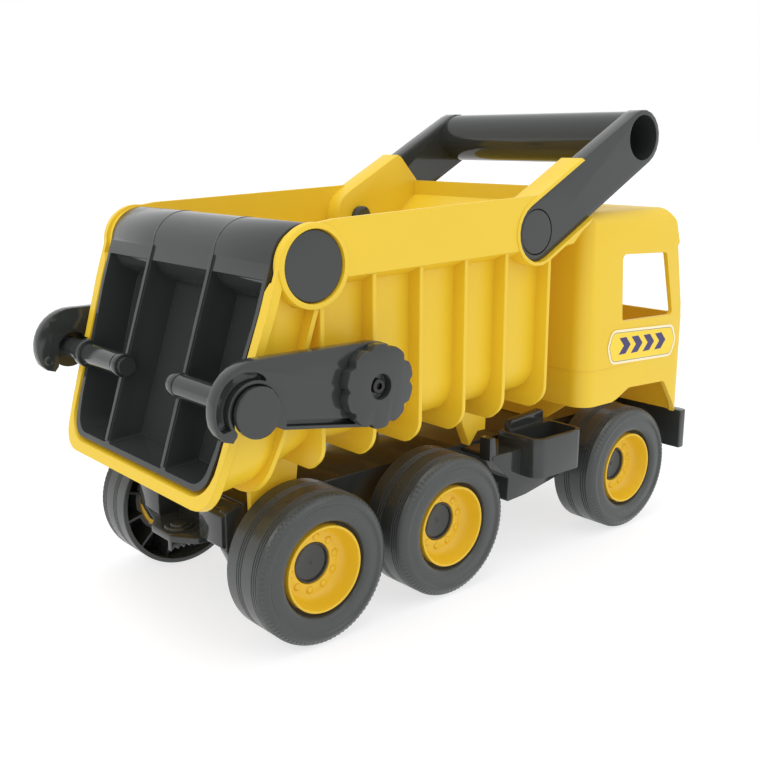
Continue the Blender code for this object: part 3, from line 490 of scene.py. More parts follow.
# ---- chassis ---------------------------------------------------------------
def chassis(mats):
    front = BUMPER_FRONT - 8.0
    body = box("chassis", TAIL_X + 12, front - 14, -RAIL_OUT, RAIL_OUT,
               DECK_TOP - DECK_T, DECK_TOP)
    parts = []
    side = fillet([(TAIL_X + 2, 46), (TAIL_X + 6, RAIL_LOW + 3), (TAIL_X + 12, RAIL_LOW),
                   (front - 34, RAIL_LOW), (front - 10, 50), (front - 10, DECK_TOP - 1),
                   (TAIL_X + 13, DECK_TOP - 1), (TAIL_X + 2, DECK_TOP - 3)], 2.0, 3)
    for s in (-1, 1):
        parts.append(prism_y("rail", side, s * RAIL_IN, s * RAIL_OUT))
        # upper rear box beside the hitch
        block = fillet([(TAIL_X, 47.5), (TAIL_X + 19, 47.5), (TAIL_X + 19, DECK_TOP - 1.2),
                        (TAIL_X + 9, DECK_TOP - 0.8), (TAIL_X, DECK_TOP - 5)], 1.5, 3)
        parts.append(prism_y("tailbox", block, s * 21.5, s * (RAIL_OUT - 1.2)))
        # guard in front of the middle wheel and floor under the pocket
        guard = [(AXLE_X[1] + 42, 68.5), (AXLE_X[1] + 58, 52.5), (AXLE_X[1] + 57, 37.5),
                 (AXLE_X[1] + 74, 38.5), (BOX_X1 - 6, 44.0), (BOX_X1 - 3, 53.0),
                 (BOX_X1 - 3, 68.5)]
        parts.append(prism_y("guard", fillet(guard, 1.5, 3), s * (RAIL_OUT - 2), s * GUARD_OUT))
        fin = [(AXLE_X[1] + 42, 66.0), (AXLE_X[1] + 42, 79.4), (AXLE_X[1] + 46.5, 79.4),
               (AXLE_X[1] + 49.5, 66.0)]
        parts.append(prism_y("fin", fin, s * (GUARD_OUT - 9.0), s * (GUARD_OUT - 0.6)))
        # open pocket standing out from the side
        r = 7.0
        ring = fillet([(BOX_X0, s * 52.0), (BOX_X1, s * 52.0), (BOX_X1, s * BOX_OUT),
                       (BOX_X0, s * BOX_OUT)], [2.0, 2.0, r, r], 3)
        parts.append(prism_z("pocket", ring, 52.2, 76.5))
        bar = fillet([(BOX_X0 + 3, 60.0), (BOX_X1 - 7, 60.0), (BOX_X1 - 7, 84.6),
                      (BOX_X0 + 6, 82.0)], [0, 0, 2, 2], 3)
        parts.append(prism_y("bar", bar, s * 52.6, s * 57.6))
        # bumper stay
        parts.append(box("stay", front - 20, front + 1.5, s * (RAIL_IN - 6),
                         s * (RAIL_OUT - 1.5), 50.5, DECK_TOP - 5))
    parts.append(box("tail_web", TAIL_X + 12.5, TAIL_X + 16, -RAIL_IN - 1, RAIL_IN + 1,
                     43.2, DECK_TOP - 1))
    parts.append(box("cross_mid", AXLE_X[1] + 40, AXLE_X[1] + 43, -RAIL_IN - 1, RAIL_IN + 1,
                     42.0, DECK_TOP - 1))
    parts.append(box("cross_front", AXLE_X[2] - 24, AXLE_X[2] - 21, -RAIL_IN - 1, RAIL_IN + 1,
                     42.0, DECK_TOP - 1))
    tab = fillet([(TAIL_X + 14, -24), (TAIL_X + 14, 24), (TAIL_X - 2, 22),
                  (TAIL_X - 11, 10), (TAIL_X - 11, -10), (TAIL_X - 2, -22)], 4.0, 3)
    parts.append(prism_z("tab", tab, 44.2, 47.6))
    parts.append(prism_z("tab_ring", circle(TAIL_X, 0, 7.6, 28), 46.0, 48.6))
    bumper = fillet([(front, -CAB_HALF - 1), (BUMPER_FRONT, -CAB_HALF - 1),
                     (BUMPER_FRONT, CAB_HALF + 1), (front, CAB_HALF + 1)],
                    [1.0, 5.0, 5.0, 1.0], 3)
    parts.append(prism_z("bumper", bumper, 43.0, DECK_TOP - 0.8))
    add(body, *parts)
    cuts = []
    for x in AXLE_X:
        cuts.append(rod_y("bore", x, AXLE_Z, AXLE_R + 0.1, -60, 60, 24))
    cuts.append(rod_y("bore", TIP_X, TIP_Z, TIP_R + 0.15, -60, 60, 24))
    cuts.append(prism_z("hole", circle(TAIL_X, 0, 5.0, 24), 40, 52))
    for s in (-1, 1):
        ring = fillet([(BOX_X0 + 2.6, s * 60.0), (BOX_X1 - 2.6, s * 60.0),
                       (BOX_X1 - 2.6, s * (BOX_OUT - 2.6)), (BOX_X0 + 2.6, s * (BOX_OUT - 2.6))],
                      [2.0, 2.0, 5.0, 5.0], 3)
        cuts.append(prism_z("hollow", ring, 55.5, 90))
        cuts.append(box("guard_hollow", AXLE_X[1] + 63, BOX_X1 - 6.5, s * (RAIL_OUT + 3.5),
                        s * 57.0, 30, 66.0))
    for x in SCREW_X.values():
        cuts.append(prism_z("screw_hole", circle(x, 0, 2.4, 20), 60, 80))
    cut(body, *cuts)
    finish(body, mats["black"])
    # serrated towing catch pinned under the tab
    teeth = [(TAIL_X - 6.0, 35.0)]
    for k in range(4):
        teeth.append((TAIL_X - 3.5 + k * 3.4, 37.2))
        teeth.append((TAIL_X - 1.6 + k * 3.4, 35.4))
    outline = teeth + [(TAIL_X + 10.0, 43.7), (TAIL_X - 6.0, 43.7)]
    catch = prism_y("hitch_catch", outline, -1.8, 1.8)
    stem = prism_z("stem", circle(TAIL_X, 0, 4.6, 24), 40.5, 49.6)
    add(catch, stem)
    finish(catch, mats["black"])


def axles(mats):
    reach = RIM_FACE - 3.9
    for tag, x in AXLES:
        rod = turned_y("axle_" + tag, x, AXLE_Z, [
            (-reach, AXLE_R - 0.6), (-reach + 0.6, AXLE_R), (reach - 0.6, AXLE_R),
            (reach, AXLE_R - 0.6)], 24)
        finish(rod, mats["steel"])
    pin = turned_y("tub_pivot_pin", TIP_X, TIP_Z, [
        (-BRACKET_OUT - 2.4, TIP_R + 1.8), (-BRACKET_OUT - 0.3, TIP_R + 1.8),
        (-BRACKET_OUT - 0.3, TIP_R), (BRACKET_OUT + 0.3, TIP_R),
        (BRACKET_OUT + 0.3, TIP_R + 1.8), (BRACKET_OUT + 2.4, TIP_R + 1.8)], 24)
    finish(pin, mats["steel"])


# ---- cab -------------------------------------------------------------------
def cab(mats):
    low, seam = 69.8, 111.0
    half = CAB_HALF
    rear, top = CAB_REAR, CAB_TOP
    face = BUMPER_FRONT - 6.2
    plan = fillet([(rear, -half), (face, -half), (face, half), (rear, half)], 12.0, 6)
    body = prism_z("cab_shell", plan, low, top)
    sil = fillet([(rear - 5, low - 5), (face + 0.5, low - 5), (face, low), (face - 4.2, seam),
                  (face - 6.0, 136.0), (face - 7.6, 136.8), (face - 15.0, 182.0),
                  (face - 13.2, 184.0), (face - 17.5, 198.0), (face - 27.0, top),
                  (rear + 3, top), (rear, top - 3), (rear - 5, top - 8)],
                 [0, 0, 0, 2, 0.8, 0.8, 0.8, 2, 6, 6, 3, 3, 0], 3)
    common(body, prism_y("sil", sil, -half - 5, half + 5))
    roof = fillet([(-half - 0.01, low - 5), (half + 0.01, low - 5), (half + 0.01, seam),
                   (half - 0.3, 136.0), (half - 1.6, top + 0.2), (-half + 1.6, top + 0.2),
                   (-half + 0.3, 136.0), (-half - 0.01, seam)],
                  [0, 0, 0, 20, 8.5, 8.5, 20, 0], 3)
    common(body, prism_x("crown", roof, rear - 5, face + 5))
    w = CAB_WALL
    inner_plan = fillet([(rear + w, -half + w), (face - w - 1, -half + w),
                         (face - w - 1, half - w), (rear + w, half - w)], 9.0, 3)
    inner = prism_z("inner", inner_plan, low - 10, top - w)
    inner_sil = [(rear + w - 1, low - 20), (face - w - 1, low - 20), (face - w - 1, low),
                 (face - w - 4.6, seam), (face - w - 7.0, 136.0), (face - w - 16.0, 182.0),
                 (face - w - 19.0, 197.0), (face - w - 27.0, top - w), (rear + w + 3, top - w),
                 (rear + w - 1, top - w - 4)]
    common(inner, prism_y("in_sil", inner_sil, -half, half))
    inner_roof = fillet([(-half + w, low - 20), (half - w, low - 20), (half - w, 136.0),
                         (half - 1.6 - w, top - w), (-half + 1.6 + w, top - w),
                         (-half + w, 136.0)], [0, 0, 20, 6, 6, 20], 3)
    common(inner, prism_x("in_crown", inner_roof, rear - 5, face + 5))
    cuts = [inner]
    # front wheel arch, side windows and windscreen
    arch = fillet([(rear - 10, low - 20), (rear - 10, 88.0), (228.0, 88.0), (233.0, 89.5),
                   (244.5, 95.0), (282.5, 93.5), (298.0, 71.5), (299.5, low - 20)],
                  [0, 0, 3, 4, 4, 4, 2, 0], 3)
    cuts.append(prism_y("arch", arch, -half - 5, half + 5))
    window = fillet([(232.3, 180.6), (278.6, 178.6), (287.8, 137.4), (234.0, 139.0)],
                    [3.5, 2.5, 3.0, 2.5], 3)
    cuts.append(prism_y("window", window, -half - 5, half + 5))
    screen = fillet([(-half + 5.5, 137.5), (half - 5.5, 137.5), (half - 8.5, 178.5),
                     (-half + 8.5, 178.5)], 4.0, 3)
    cuts.append(prism_x("screen", screen, face - 30, face + 5))
    cut(body, *cuts)
    reach = [(rear - 6, -half - 6), (262.0, -half - 6), (262.0, -half - 0.1),
             (226.0, -half + 0.55)]
    for k in range(9):
        t = math.radians(270 - k * 90 / 8)
        reach.append((rear + 12.0 + 11.45 * math.cos(t), -half + 12.0 + 11.45 * math.sin(t)))
    reach += [(a, -b) for a, b in reach[::-1]]
    cut(body, prism_z("skirt", reach, low - 6, seam, 0.0))
    # webs and screw bosses that stand on the chassis deck
    webs = []
    for x0, tall in ((CAB_REAR + 14.0, 122.0), (276.5, 118.0)):
        foot = fillet([(-40.0, DECK_TOP + GAP), (40.0, DECK_TOP + GAP), (half - 2.0, 100.0),
                       (half - 2.0, tall), (-half + 2.0, tall), (-half + 2.0, 100.0)], 1.0, 2)
        webs.append(prism_x("web", foot, x0, x0 + 2.6))
    for x in SCREW_X.values():
        webs.append(prism_z("boss", circle(x, 0, 4.5, 20), DECK_TOP + GAP, 92.0))
    add(body, *webs)
    cut(body, *[prism_z("pilot", circle(x, 0, 1.7, 16), 60, 84.0) for x in SCREW_X.values()])
    finish(body, mats["yellow"])
    for tag, s in SIDES:
        corners = [(223.6, 112.6), (288.0, 109.8), (292.6, 120.4), (288.4, 131.0),
                   (223.4, 134.4), (219.6, 123.6)]
        radii = [6, 6, 5, 6, 6, 5]
        plate = fillet(corners, radii, 3)
        label = prism_y("door_label_" + tag, plate, s * (half + 0.06), s * (half + 0.36), 0.05)
        layers = [paint(label, 0)]
        for pull, deep, index in ((1.5, 0.39, 1), (2.0, 0.42, 2)):
            part = prism_y("layer", inset(plate, pull), s * (half + 0.2), s * (half + deep), 0.0)
            layers.append(paint(part, index))
        for k in range(4):
            x0, x1 = 231.0 + 12.6 * k, 238.0 + 12.6 * k
            z0, z1 = 118.2 - 0.043 * (x0 - 229.5), 128.8 - 0.043 * (x0 - 229.5)
            mid = (z0 + z1) / 2
            arrow = [(x0, z0), (x1, z0), (x1 + 5.0, mid), (x1, z1), (x0, z1), (x0 + 5.0, mid)]
            part = prism_y("arrow", arrow, s * (half + 0.2), s * (half + 0.45), 0.0)
            layers.append(paint(part, 3))
        merge(*layers)
        finish(label, [mats[key] for key in ("label", "print_grey", "print_yellow", "print_navy")])
    for tag, x in SCREW_X.items():
        shank = bridge("cab_screw_" + tag, [
            [(a, b, z) for a, b in circle(x, 0, r, 20)]
            for z, r in ((DECK_TOP - DECK_T - 2.7, 2.6), (DECK_TOP - DECK_T - 1.9, 3.6),
                         (DECK_TOP - DECK_T - 0.3, 3.6), (DECK_TOP - DECK_T - 0.3, 1.5),
                         (82.0, 1.5))])
        finish(shank, mats["steel"])


# ---- tub -------------------------------------------------------------------
def tub_ring(x, inset):
    """Cross-section of the tub at x, inset by the wall thickness."""
    rear = max(0.0, min(1.0, -x / 35.0))
    low = skin_low(x) + inset
    wide = TUB_SKIN + rear * 7.5 - inset
    narrow = TUB_SKIN + rear * 2.0 - inset
    band = TUB_HALF - inset
    step = ledge_z(x) + inset * 0.6
    r = 20.0 - inset
    high = 300.0 if inset else rim_z(x)
    half = [(0.0, low)]
    for k in range(7):
        t = -math.pi / 2 + k * math.pi / 12
        half.append((narrow - r + r * math.cos(t), low + r + r * math.sin(t)))
    half += [(wide, step - 3.0), (band, step + 1.5), (band, high)]
    ring = half + [(-a, b) for a, b in half[::-1] if a > 0.01]
    return [(x, a, b) for a, b in ring]


def gate_size(n):
    """Half width and lower edge of the tailgate at depth n; both grow with the draft."""
    draft = (n - 18.2) / 20.8
    return GATE_HALF + 3.4 * draft, 114.6 + 8.6 * draft


def gate_edge(n, extra):
    """Edge of the tailgate at depth n, as (y, u) pairs, grown by extra."""
    wide, low = (size + extra for size in gate_size(n))
    pts = [(wide, 0.0), (wide, 26.0), (wide - 6.0, 96.0), (wide - 10.0, low),
           (-wide + 10.0, low), (-wide + 6.0, 96.0), (-wide, 26.0), (-wide, 0.0)]
    return fillet(pts, [0, 40, 20, 16, 16, 20, 40, 0], 3)


def gate_slab(name, n0, n1, extra):
    return bridge(name, [[lean(n, u, y) for y, u in gate_edge(n, extra)] for n in (n0, n1)])


def flange_outline(extra):
    """Outer edge of the rear flange as (y, u) pairs, grown by extra."""
    top, low = TUB_HALF + extra, TUB_HALF - 6.5 + extra
    pts = [(top, 0.0), (top, 26.0), (low, 97.0), (low - 4.0, 123.4 + extra),
           (-low + 4.0, 123.4 + extra), (-low, 97.0), (-top, 26.0), (-top, 0.0)]
    return fillet(pts, [0, 40, 20, 22, 22, 20, 40, 0], 3)


def tub(mats):
    outer = bridge("tub", [tub_ring(x, 0.0) for x in (-80.0, -33.0, 0.0, TUB_NOSE)])
    skirt_u = 118.0
    side = [lean(FLANGE_N - 1.0, skirt_u + 40, 0)[::2]]
    arc = [lean(FLANGE_N - 1.0, 0, 0)[::2]]
    start = math.pi - SLOPE
    for k in range(1, 7):
        t = start + (math.pi / 2 - start) * k / 6
        arc.append((HINGE_X + HINGE_R * math.cos(t), HINGE_Z + HINGE_R * math.sin(t)))
    side += arc
    side += [(10.0, rim_z(10.0) + 0.4), (TUB_NOSE, rim_z(TUB_NOSE) + 0.4),
             (TUB_NOSE, 209.8), (TUB_FRONT, 178.5), (TUB_FRONT, 40.0)]
    common(outer, prism_y("side", side, -FAR, FAR))
    parts = []
    for x in RIB_X:
        low = rib_low(x)
        tall = ledge_z(x) + 1.0
        plate = fillet([(-RIB_HALF, tall), (-RIB_HALF, low + 8), (-RIB_HALF + 10, low),
                        (RIB_HALF - 10, low), (RIB_HALF, low + 8), (RIB_HALF, tall)],
                       [0, 18, 8, 8, 18, 0], 3)
        parts.append(prism_x("rib", plate, x - RIB_T / 2, x + RIB_T / 2))
    wide = TUB_HALF - 2.0
    slant = fillet([(wide, 14.0), (wide - 1.5, 80.0), (wide - 8.0, 112.3), (8.0 - wide, 112.3),
                    (1.5 - wide, 80.0), (-wide, 14.0)], [0, 20, 22, 22, 20, 0], 3)
    parts.append(lean_slab("rib", slant, -10.1, -7.5))
    parts.append(lean_slab("flange", flange_outline(0.0), FLANGE_N - FLANGE_T, FLANGE_N))
    for s in (-1, 1):
        parts.append(rod_y("boss", HINGE_X, HINGE_Z, HINGE_R + 0.7, s * (TUB_HALF - 16.0),
                           s * (TUB_HALF + 0.9), 36))
        parts.append(rod_y("seat", KNOB_X, KNOB_Z, 9.0, s * (TUB_HALF - 16.0),
                           s * (ARM_IN - GAP), 20))
    add(outer, *parts)
    # hollow
    hollow = bridge("hollow", [tub_ring(x, TUB_WALL) for x in (-110.0, -33.0, 0.0, TUB_NOSE)])
    w = TUB_WALL
    bowl = [(-120.0, 60.0), (TUB_FRONT - w, 60.0), (TUB_FRONT - w, 178.5 + w * 0.5),
            (TUB_NOSE - w, 210.8 + w * 0.4), (TUB_NOSE - w, 320.0), (-120.0, 320.0)]
    common(hollow, prism_y("bowl", bowl, -FAR, FAR))
    cut(outer, hollow, gate_slab("opening", -12.0, 20.5, 0.5))
    # what stands inside or is cut after the hollow
    late = []
    ear_r = HAND_HALF + 2.4
    ear = arm_end(ear_r)
    ear += [along(40.0, -ear_r), (TUB_NOSE - 0.4, 212.0), (TUB_NOSE - 0.4, 222.0),
            along(51.0, ear_r - 2.5), along(49.0, ear_r)]
    for s in (-1, 1):
        late.append(prism_y("ear", ear, s * (HAND_IN - 3.2), s * (TUB_HALF + 0.7)))
        late.append(rod_y("boss", HINGE_X, HINGE_Z, HINGE_R - 0.9, s * (TUB_HALF - 6.8),
                          s * (TUB_HALF - 0.8), 36))
    # brackets down to the tipping axis and the locating feet
    for s in (-1, 1):
        arm = fillet([(-22.0, 98.0), (-21.0, 64.0), (-16.0, 50.0), (-4.0, 50.0), (6.0, 64.0),
                      (10.0, 98.0)], [0, 6, 6, 6, 6, 0], 3)
        late.append(prism_y("bracket", arm, s * BRACKET_IN, s * BRACKET_OUT))
        foot = prism_y("foot", [(131.5, 71.6), (138.0, 79.4), (144.6, 79.4), (145.4, 101.0),
                                (123.0, 101.0), (124.4, 87.0)], s * 46.4, s * 53.6)
        late.append(foot)
    add(outer, *late)
    cuts = [rod_y("swing", HINGE_X, HINGE_Z, HINGE_R + 0.86, 7.0 - TUB_HALF,
                   TUB_HALF - 7.0, 40)]
    for s in (-1, 1):
        tray = arm_end(HAND_HALF + GAP, 12)
        tray += [along(140.0, -HAND_HALF - GAP), along(140.0, HAND_HALF + GAP)]
        cuts.append(prism_y("tray", tray, s * (HAND_IN - GAP), s * FAR))
        cuts.append(rod_y("plug_hole", EAR_X, EAR_Z, 6.3, s * 60, s * FAR, 20))
        cuts.append(rod_y("cap_seat", HINGE_X, HINGE_Z, 17.4, s * (TUB_HALF - 4.6), s * FAR, 28))
        cuts.append(rod_y("cap_hole", HINGE_X, HINGE_Z, 5.9, s * 60, s * FAR, 20))
        notch = lean(20.3, 69.6, 0)
        cuts.append(rod_y("notch", notch[0], notch[2], PEG_R + 2.2, s * 60, s * FAR, 20))
        cuts.append(rod_y("pilot", KNOB_X, KNOB_Z, 1.9, s * (TUB_SKIN + 1.0), s * FAR, 16))
        cuts.append(rod_y("tip_bore", TIP_X, TIP_Z, TIP_R + 0.3, s * 40, s * 55, 24))
    cut(outer, *cuts)
    finish(outer, mats["yellow"])


# ---- tailgate --------------------------------------------------------------
def tailgate(mats):
    wide = GATE_HALF
    gate = gate_slab("tailgate", -2.6, GATE_N, 0.0)
    ribs = []
    for y in (-GATE_RIB_Y, GATE_RIB_Y):
        ribs.append(lean_slab("rib", [(y - 1.2, 4.0), (y + 1.2, 4.0), (y + 1.2, 110.6),
                                      (y - 1.2, 110.6)], 10.0, 19.8))
    roll = rod_y("roll", HINGE_X, HINGE_Z, HINGE_R, -wide, wide, 32)
    add(gate, roll)
    # hollow the roll from the front and below, leaving the rolled sheet and its cheeks
    inner = rod_y("inner", HINGE_X, HINGE_Z, HINGE_R - 3.0, -wide + 4.0, wide - 4.0, 32)
    cut(gate, inner)
    low_back = lean(GATE_BACK, 60, 0)[::2]
    nose = [(HINGE_X + 2.0, HINGE_Z + 40), (HINGE_X + 2.0, HINGE_Z - 4),
            lean(GATE_BACK, 9, 0)[::2], low_back,
            (HINGE_X + 60, HINGE_Z - 60), (HINGE_X + 60, HINGE_Z + 40)]
    cut(gate, prism_y("nose", nose, -wide + 4.0, wide - 4.0))
    trim = [(HINGE_X + 11.0, HINGE_Z + 40), (HINGE_X + 11.0, HINGE_Z - 3),
            (HINGE_X + 3.0, HINGE_Z - 11), lean(GATE_BACK, 12, 0)[::2], low_back,
            (HINGE_X + 60, HINGE_Z - 60), (HINGE_X + 60, HINGE_Z + 40)]
    cut(gate, prism_y("trim", trim, -FAR, FAR))
    pockets = []
    top = 11.8                     # upper edge of the pockets, down from the hinge axis
    for y0, y1 in ((-28.6, 28.6), (31.4, 1.0), (-1.0, -31.4)):
        rings = []
        for n in (0.6, GATE_N + 4.0):
            rim, low = (size - POCKET_WALL for size in gate_size(n))
            if y0 > 0:
                lim = [(y0, top), (rim, top), (rim, 30.0), (rim - 6.0, 93.0), (rim - 10.0, low),
                       (y0, low)]
                rad = [0.5, 0.5, 20, 20, 13, 2]
            elif y0 < -20:
                lim = [(y0, top), (y1, top), (y1, low), (y0, low)]
                rad = [0.5, 0.5, 2, 2]
            else:
                lim = [(-rim, top), (y1, top), (y1, low), (-rim + 10.0, low),
                       (-rim + 6.0, 93.0), (-rim, 30.0)]
                rad = [0.5, 0.5, 2, 13, 20, 20]
            rings.append([lean(n, u, y) for y, u in fillet(lim, rad, 3)])
        pocket = bridge("pocket", rings)
        cut(pocket, rod_y("roll_skin", HINGE_X, HINGE_Z, HINGE_R, -wide, wide, 32))
        pockets.append(pocket)
    cut(gate, *pockets)
    add(gate, *ribs)
    bosses = []
    for s in (-1, 1):
        bosses.append(rod_y("peg_boss", PEG_X, PEG_Z, 6.5, s * 27.3, s * 32.4, 20))
        bosses.append(rod_y("peg_boss", PEG_X, PEG_Z, 8.0, s * (wide - 9.9),
                            s * (wide - 4.4), 20))
        bosses.append(rod_y("hub", HINGE_X, HINGE_Z, 11.0, s * (wide - 5.0), s * wide, 20))
    for y in (-GATE_RIB_Y, GATE_RIB_Y):
        crest = rod_y("crest", HINGE_X, HINGE_Z, HINGE_R + 0.22, y - 0.6, y + 0.6, 48, 0.1)
        cut(crest, rod_y("core", HINGE_X, HINGE_Z, HINGE_R - 1.2, y - 2, y + 2, 48, 0.0),
            prism_y("trims", trim, y - 3, y + 3, 0.0))
        bosses.append(crest)
    add(gate, *bosses)
    bores = []
    for s in (-1, 1):
        bores.append(rod_y("bore", PEG_X, PEG_Z, 5.1, s * 20.0, s * 36.0, 20))
        bores.append(rod_y("bore", PEG_X, PEG_Z, PEG_R + 0.1, s * (wide - 18.0), s * FAR, 20))
        bores.append(rod_y("bore", HINGE_X, HINGE_Z, 5.1, s * (wide - 18.0), s * FAR, 20))
    cut(gate, *bores)
    finish(gate, mats["black"])
    seat = TUB_HALF - 4.3
    for tag, s in SIDES:
        cap = turned_y("hinge_cap_" + tag, HINGE_X, HINGE_Z, [
            (wide - 7.5, 5.0), (seat, 5.0), (seat, 17.0), (TUB_HALF - 0.9, 17.0),
            (TUB_HALF - 0.3, 16.4)], 32, s)
        finish(cap, mats["black"])
        peg = turned_y("tailgate_peg_" + tag, PEG_X, PEG_Z, [
            (24.5, 5.0), (33.0, 5.0), (33.0, 6.2), (37.0, PEG_R), (ARM_OUT + 0.4, PEG_R),
            (ARM_OUT + 0.4, 11.9), (DISC_OUT - 0.5, 11.9), (DISC_OUT, 11.3)], 20, s)
        finish(peg, mats["black"])


# ---- latches ---------------------------------------------------------------
def latches(mats):
    for tag, s in SIDES:
        # outer edge: round at the knob, round over the hook, open below the peg
        hook_r, knob_r = 21.8, 21.0
        pts = []
        for k in range(15):
            t = math.radians(-96 + k * (186 / 14))
            pts.append((KNOB_X + knob_r * math.cos(t), KNOB_Z + knob_r * math.sin(t)))
        for k in range(12):
            t = math.radians(88 + k * (117 / 11))
            pts.append((PEG_X + hook_r * math.cos(t), PEG_Z + 1.5 + hook_r * math.sin(t)))
        tip = [(PEG_X - 16.5, 121.6), (PEG_X - 12.0, 120.2), (PEG_X - 9.6, 123.0)]
        pts += tip
        slot_r = PEG_R + 3.2
        for k in range(13):
            t = math.radians(180 - k * 15)
            pts.append((PEG_X + slot_r * math.cos(t), PEG_Z + slot_r * math.sin(t)))
        pts += [(PEG_X + slot_r + 0.6, 124.0), (PEG_X + slot_r + 6.0, 121.4)]
        arm = prism_y("latch_arm_" + tag, pts, s * ARM_IN, s * ARM_OUT)
        rec = fillet([(PEG_X + 16.2, 122.9), (KNOB_X - 9, 116.5), (KNOB_X - 9, 119.7),
                      (PEG_X + 16.2, 126.1)], 0.3, 2)
        groove = []
        for k in range(25):
            t = math.radians(66 + k * 140 / 24)
            groove.append((PEG_X + 14.2 * math.cos(t), PEG_Z + 14.2 * math.sin(t)))
        for k in range(25):
            t = math.radians(206 - k * 140 / 24)
            rise = min(1.0, (206 - math.degrees(t)) / 12.0)
            far = min(20.2, 14.4 + 6.4 * ((math.degrees(t) - 66) / 84.0) ** 0.75)
            groove.append((PEG_X + (far - 1.6 * (1 - rise)) * math.cos(t),
                           PEG_Z + 1.0 + (far - 1.6 * (1 - rise)) * math.sin(t)))
        cut(arm, prism_y("rec", rec, s * (ARM_IN + 2.0), s * FAR, 0.1),
            prism_y("groove", groove, s * (ARM_OUT - 4.4), s * FAR, 0.1),
            rod_y("seat", PEG_X, PEG_Z, 12.7, s * (ARM_OUT - 2.6), s * FAR, 48, 0.1),
            rod_y("bore", KNOB_X, KNOB_Z, 5.4, s * 60, s * FAR, 20))
        bump = turned_y("bump", PEG_X - 15.6, PEG_Z - 5.6, [
            (ARM_IN + 0.4, 2.6), (ARM_IN - 0.3, 2.5), (ARM_IN - 0.8, 1.7)], 16, s)
        merge(arm, bump)
        finish(arm, mats["black"])
        lobes = []
        for k in range(240):
            t = 2 * math.pi * (k + 0.5) / 240
            r = KNOB_R + 1.1 - 1.9 * abs(math.cos(5 * t)) ** 9
            lobes.append((KNOB_X + r * math.cos(t), KNOB_Z + r * math.sin(t)))
        knob = prism_y("latch_knob_" + tag, lobes, s * (ARM_OUT + 0.1), s * KNOB_OUT)
        add(knob, rod_y("hub", KNOB_X, KNOB_Z, 5.1, s * (ARM_IN + 0.1), s * (ARM_OUT + 2.0), 20))
        cut(knob, rod_y("well", KNOB_X, KNOB_Z, 6.4, s * (KNOB_OUT - 4.6), s * FAR, 40, 0.1),
            rod_y("bore", KNOB_X, KNOB_Z, 2.3, s * 60, s * FAR, 20))
        finish(knob, mats["black"])
        screw = turned_y("latch_screw_" + tag, KNOB_X, KNOB_Z, [
            (TUB_SKIN + 1.5, 1.3), (TUB_SKIN + 2.6, 1.8), (KNOB_OUT - 4.3, 1.8),
            (KNOB_OUT - 4.3, 3.6), (KNOB_OUT - 1.6, 3.6), (KNOB_OUT - 1.3, 3.2)], 32, s)
        cut(screw, rod_y("socket", KNOB_X, KNOB_Z, 1.7, s * (KNOB_OUT - 3.4), s * FAR, 6, 0.1))
        finish(screw, mats["dark_steel"])


# ---- handle ----------------------------------------------------------------
def handle(mats):
    reach = math.hypot(HANDLE_X - EAR_X, HANDLE_Z - EAR_Z)
    flat = arm_end(HAND_HALF)
    flat += [along(reach + HAND_HALF * math.sin(k * math.pi / 10),
                   -HAND_HALF * math.cos(k * math.pi / 10)) for k in range(11)]
    grip = rod_y("handle", HANDLE_X, HANDLE_Z, HANDLE_R, -HAND_IN - 1, HAND_IN + 1, 32)
    arms = [prism_y("arm", flat, s * HAND_IN, s * HAND_OUT) for s in (-1, 1)]
    add(grip, *arms)
    cuts = [rod_y("bore", HANDLE_X, HANDLE_Z, HANDLE_R - 2.2, -FAR, FAR, 28)]
    for s in (-1, 1):
        cuts.append(rod_y("plug_seat", EAR_X, EAR_Z, PLUG_R + 0.3, s * (HAND_OUT - 3.0),
                          s * FAR, 24))
        cuts.append(rod_y("plug_bore", EAR_X, EAR_Z, 6.3, s * 60, s * FAR, 20))
    cut(grip, *cuts)
    finish(grip, mats["black"])
    for tag, s in SIDES:
        plug = turned_y("handle_plug_" + tag, EAR_X, EAR_Z, [
            (HAND_IN - 7.8, 5.4), (HAND_IN - 6.6, 7.0), (HAND_IN - 3.5, 7.0),
            (HAND_IN - 3.5, 6.0), (HAND_OUT - 2.7, 6.0), (HAND_OUT - 2.7, PLUG_R),
            (HAND_OUT - 0.6, PLUG_R), (HAND_OUT, PLUG_R - 0.6)], 20, s)
        finish(plug, mats["black"])


# ---- materials -------------------------------------------------------------
def wire(tree, node, **values):
    """Set a node up: a capitalised name is an input, with _ for a space, else a setting."""
    for name, value in values.items():
        if name[0].islower():
            setattr(node, name, value)
        elif isinstance(value, bpy.types.NodeSocket):
            tree.links.new(value, node.inputs[name.replace("_", " ")])
        else:
            node.inputs[name.replace("_", " ")].default_value = value
    return node


def put(tree, kind, **values):
    """Add a node and set it up."""
    return wire(tree, tree.nodes.new("ShaderNode" + kind), **values)


def noise(tree, vector, **values):
    return put(tree, "TexNoise", Vector=vector, **values).outputs["Fac"]


def ramp(tree, fac, low, high, low_at=0.0, high_at=1.0):
    """Colour that runs from low to high as fac runs from low_at to high_at."""
    node = put(tree, "ValToRGB", Fac=fac)
    for stop, rgb, position in zip(node.color_ramp.elements, (low, high), (low_at, high_at)):
        stop.position = position
        stop.color = (*rgb, 1.0)
    return node.outputs["Color"]


def blank(name):
    """New material, its node tree, its shader and the place on the piece."""
    mat = bpy.data.materials.new(name)
    mat.use_nodes = True
    tree = mat.node_tree
    place = put(tree, "TexCoord").outputs["Object"]
    return mat, tree, tree.nodes["Principled BSDF"], place


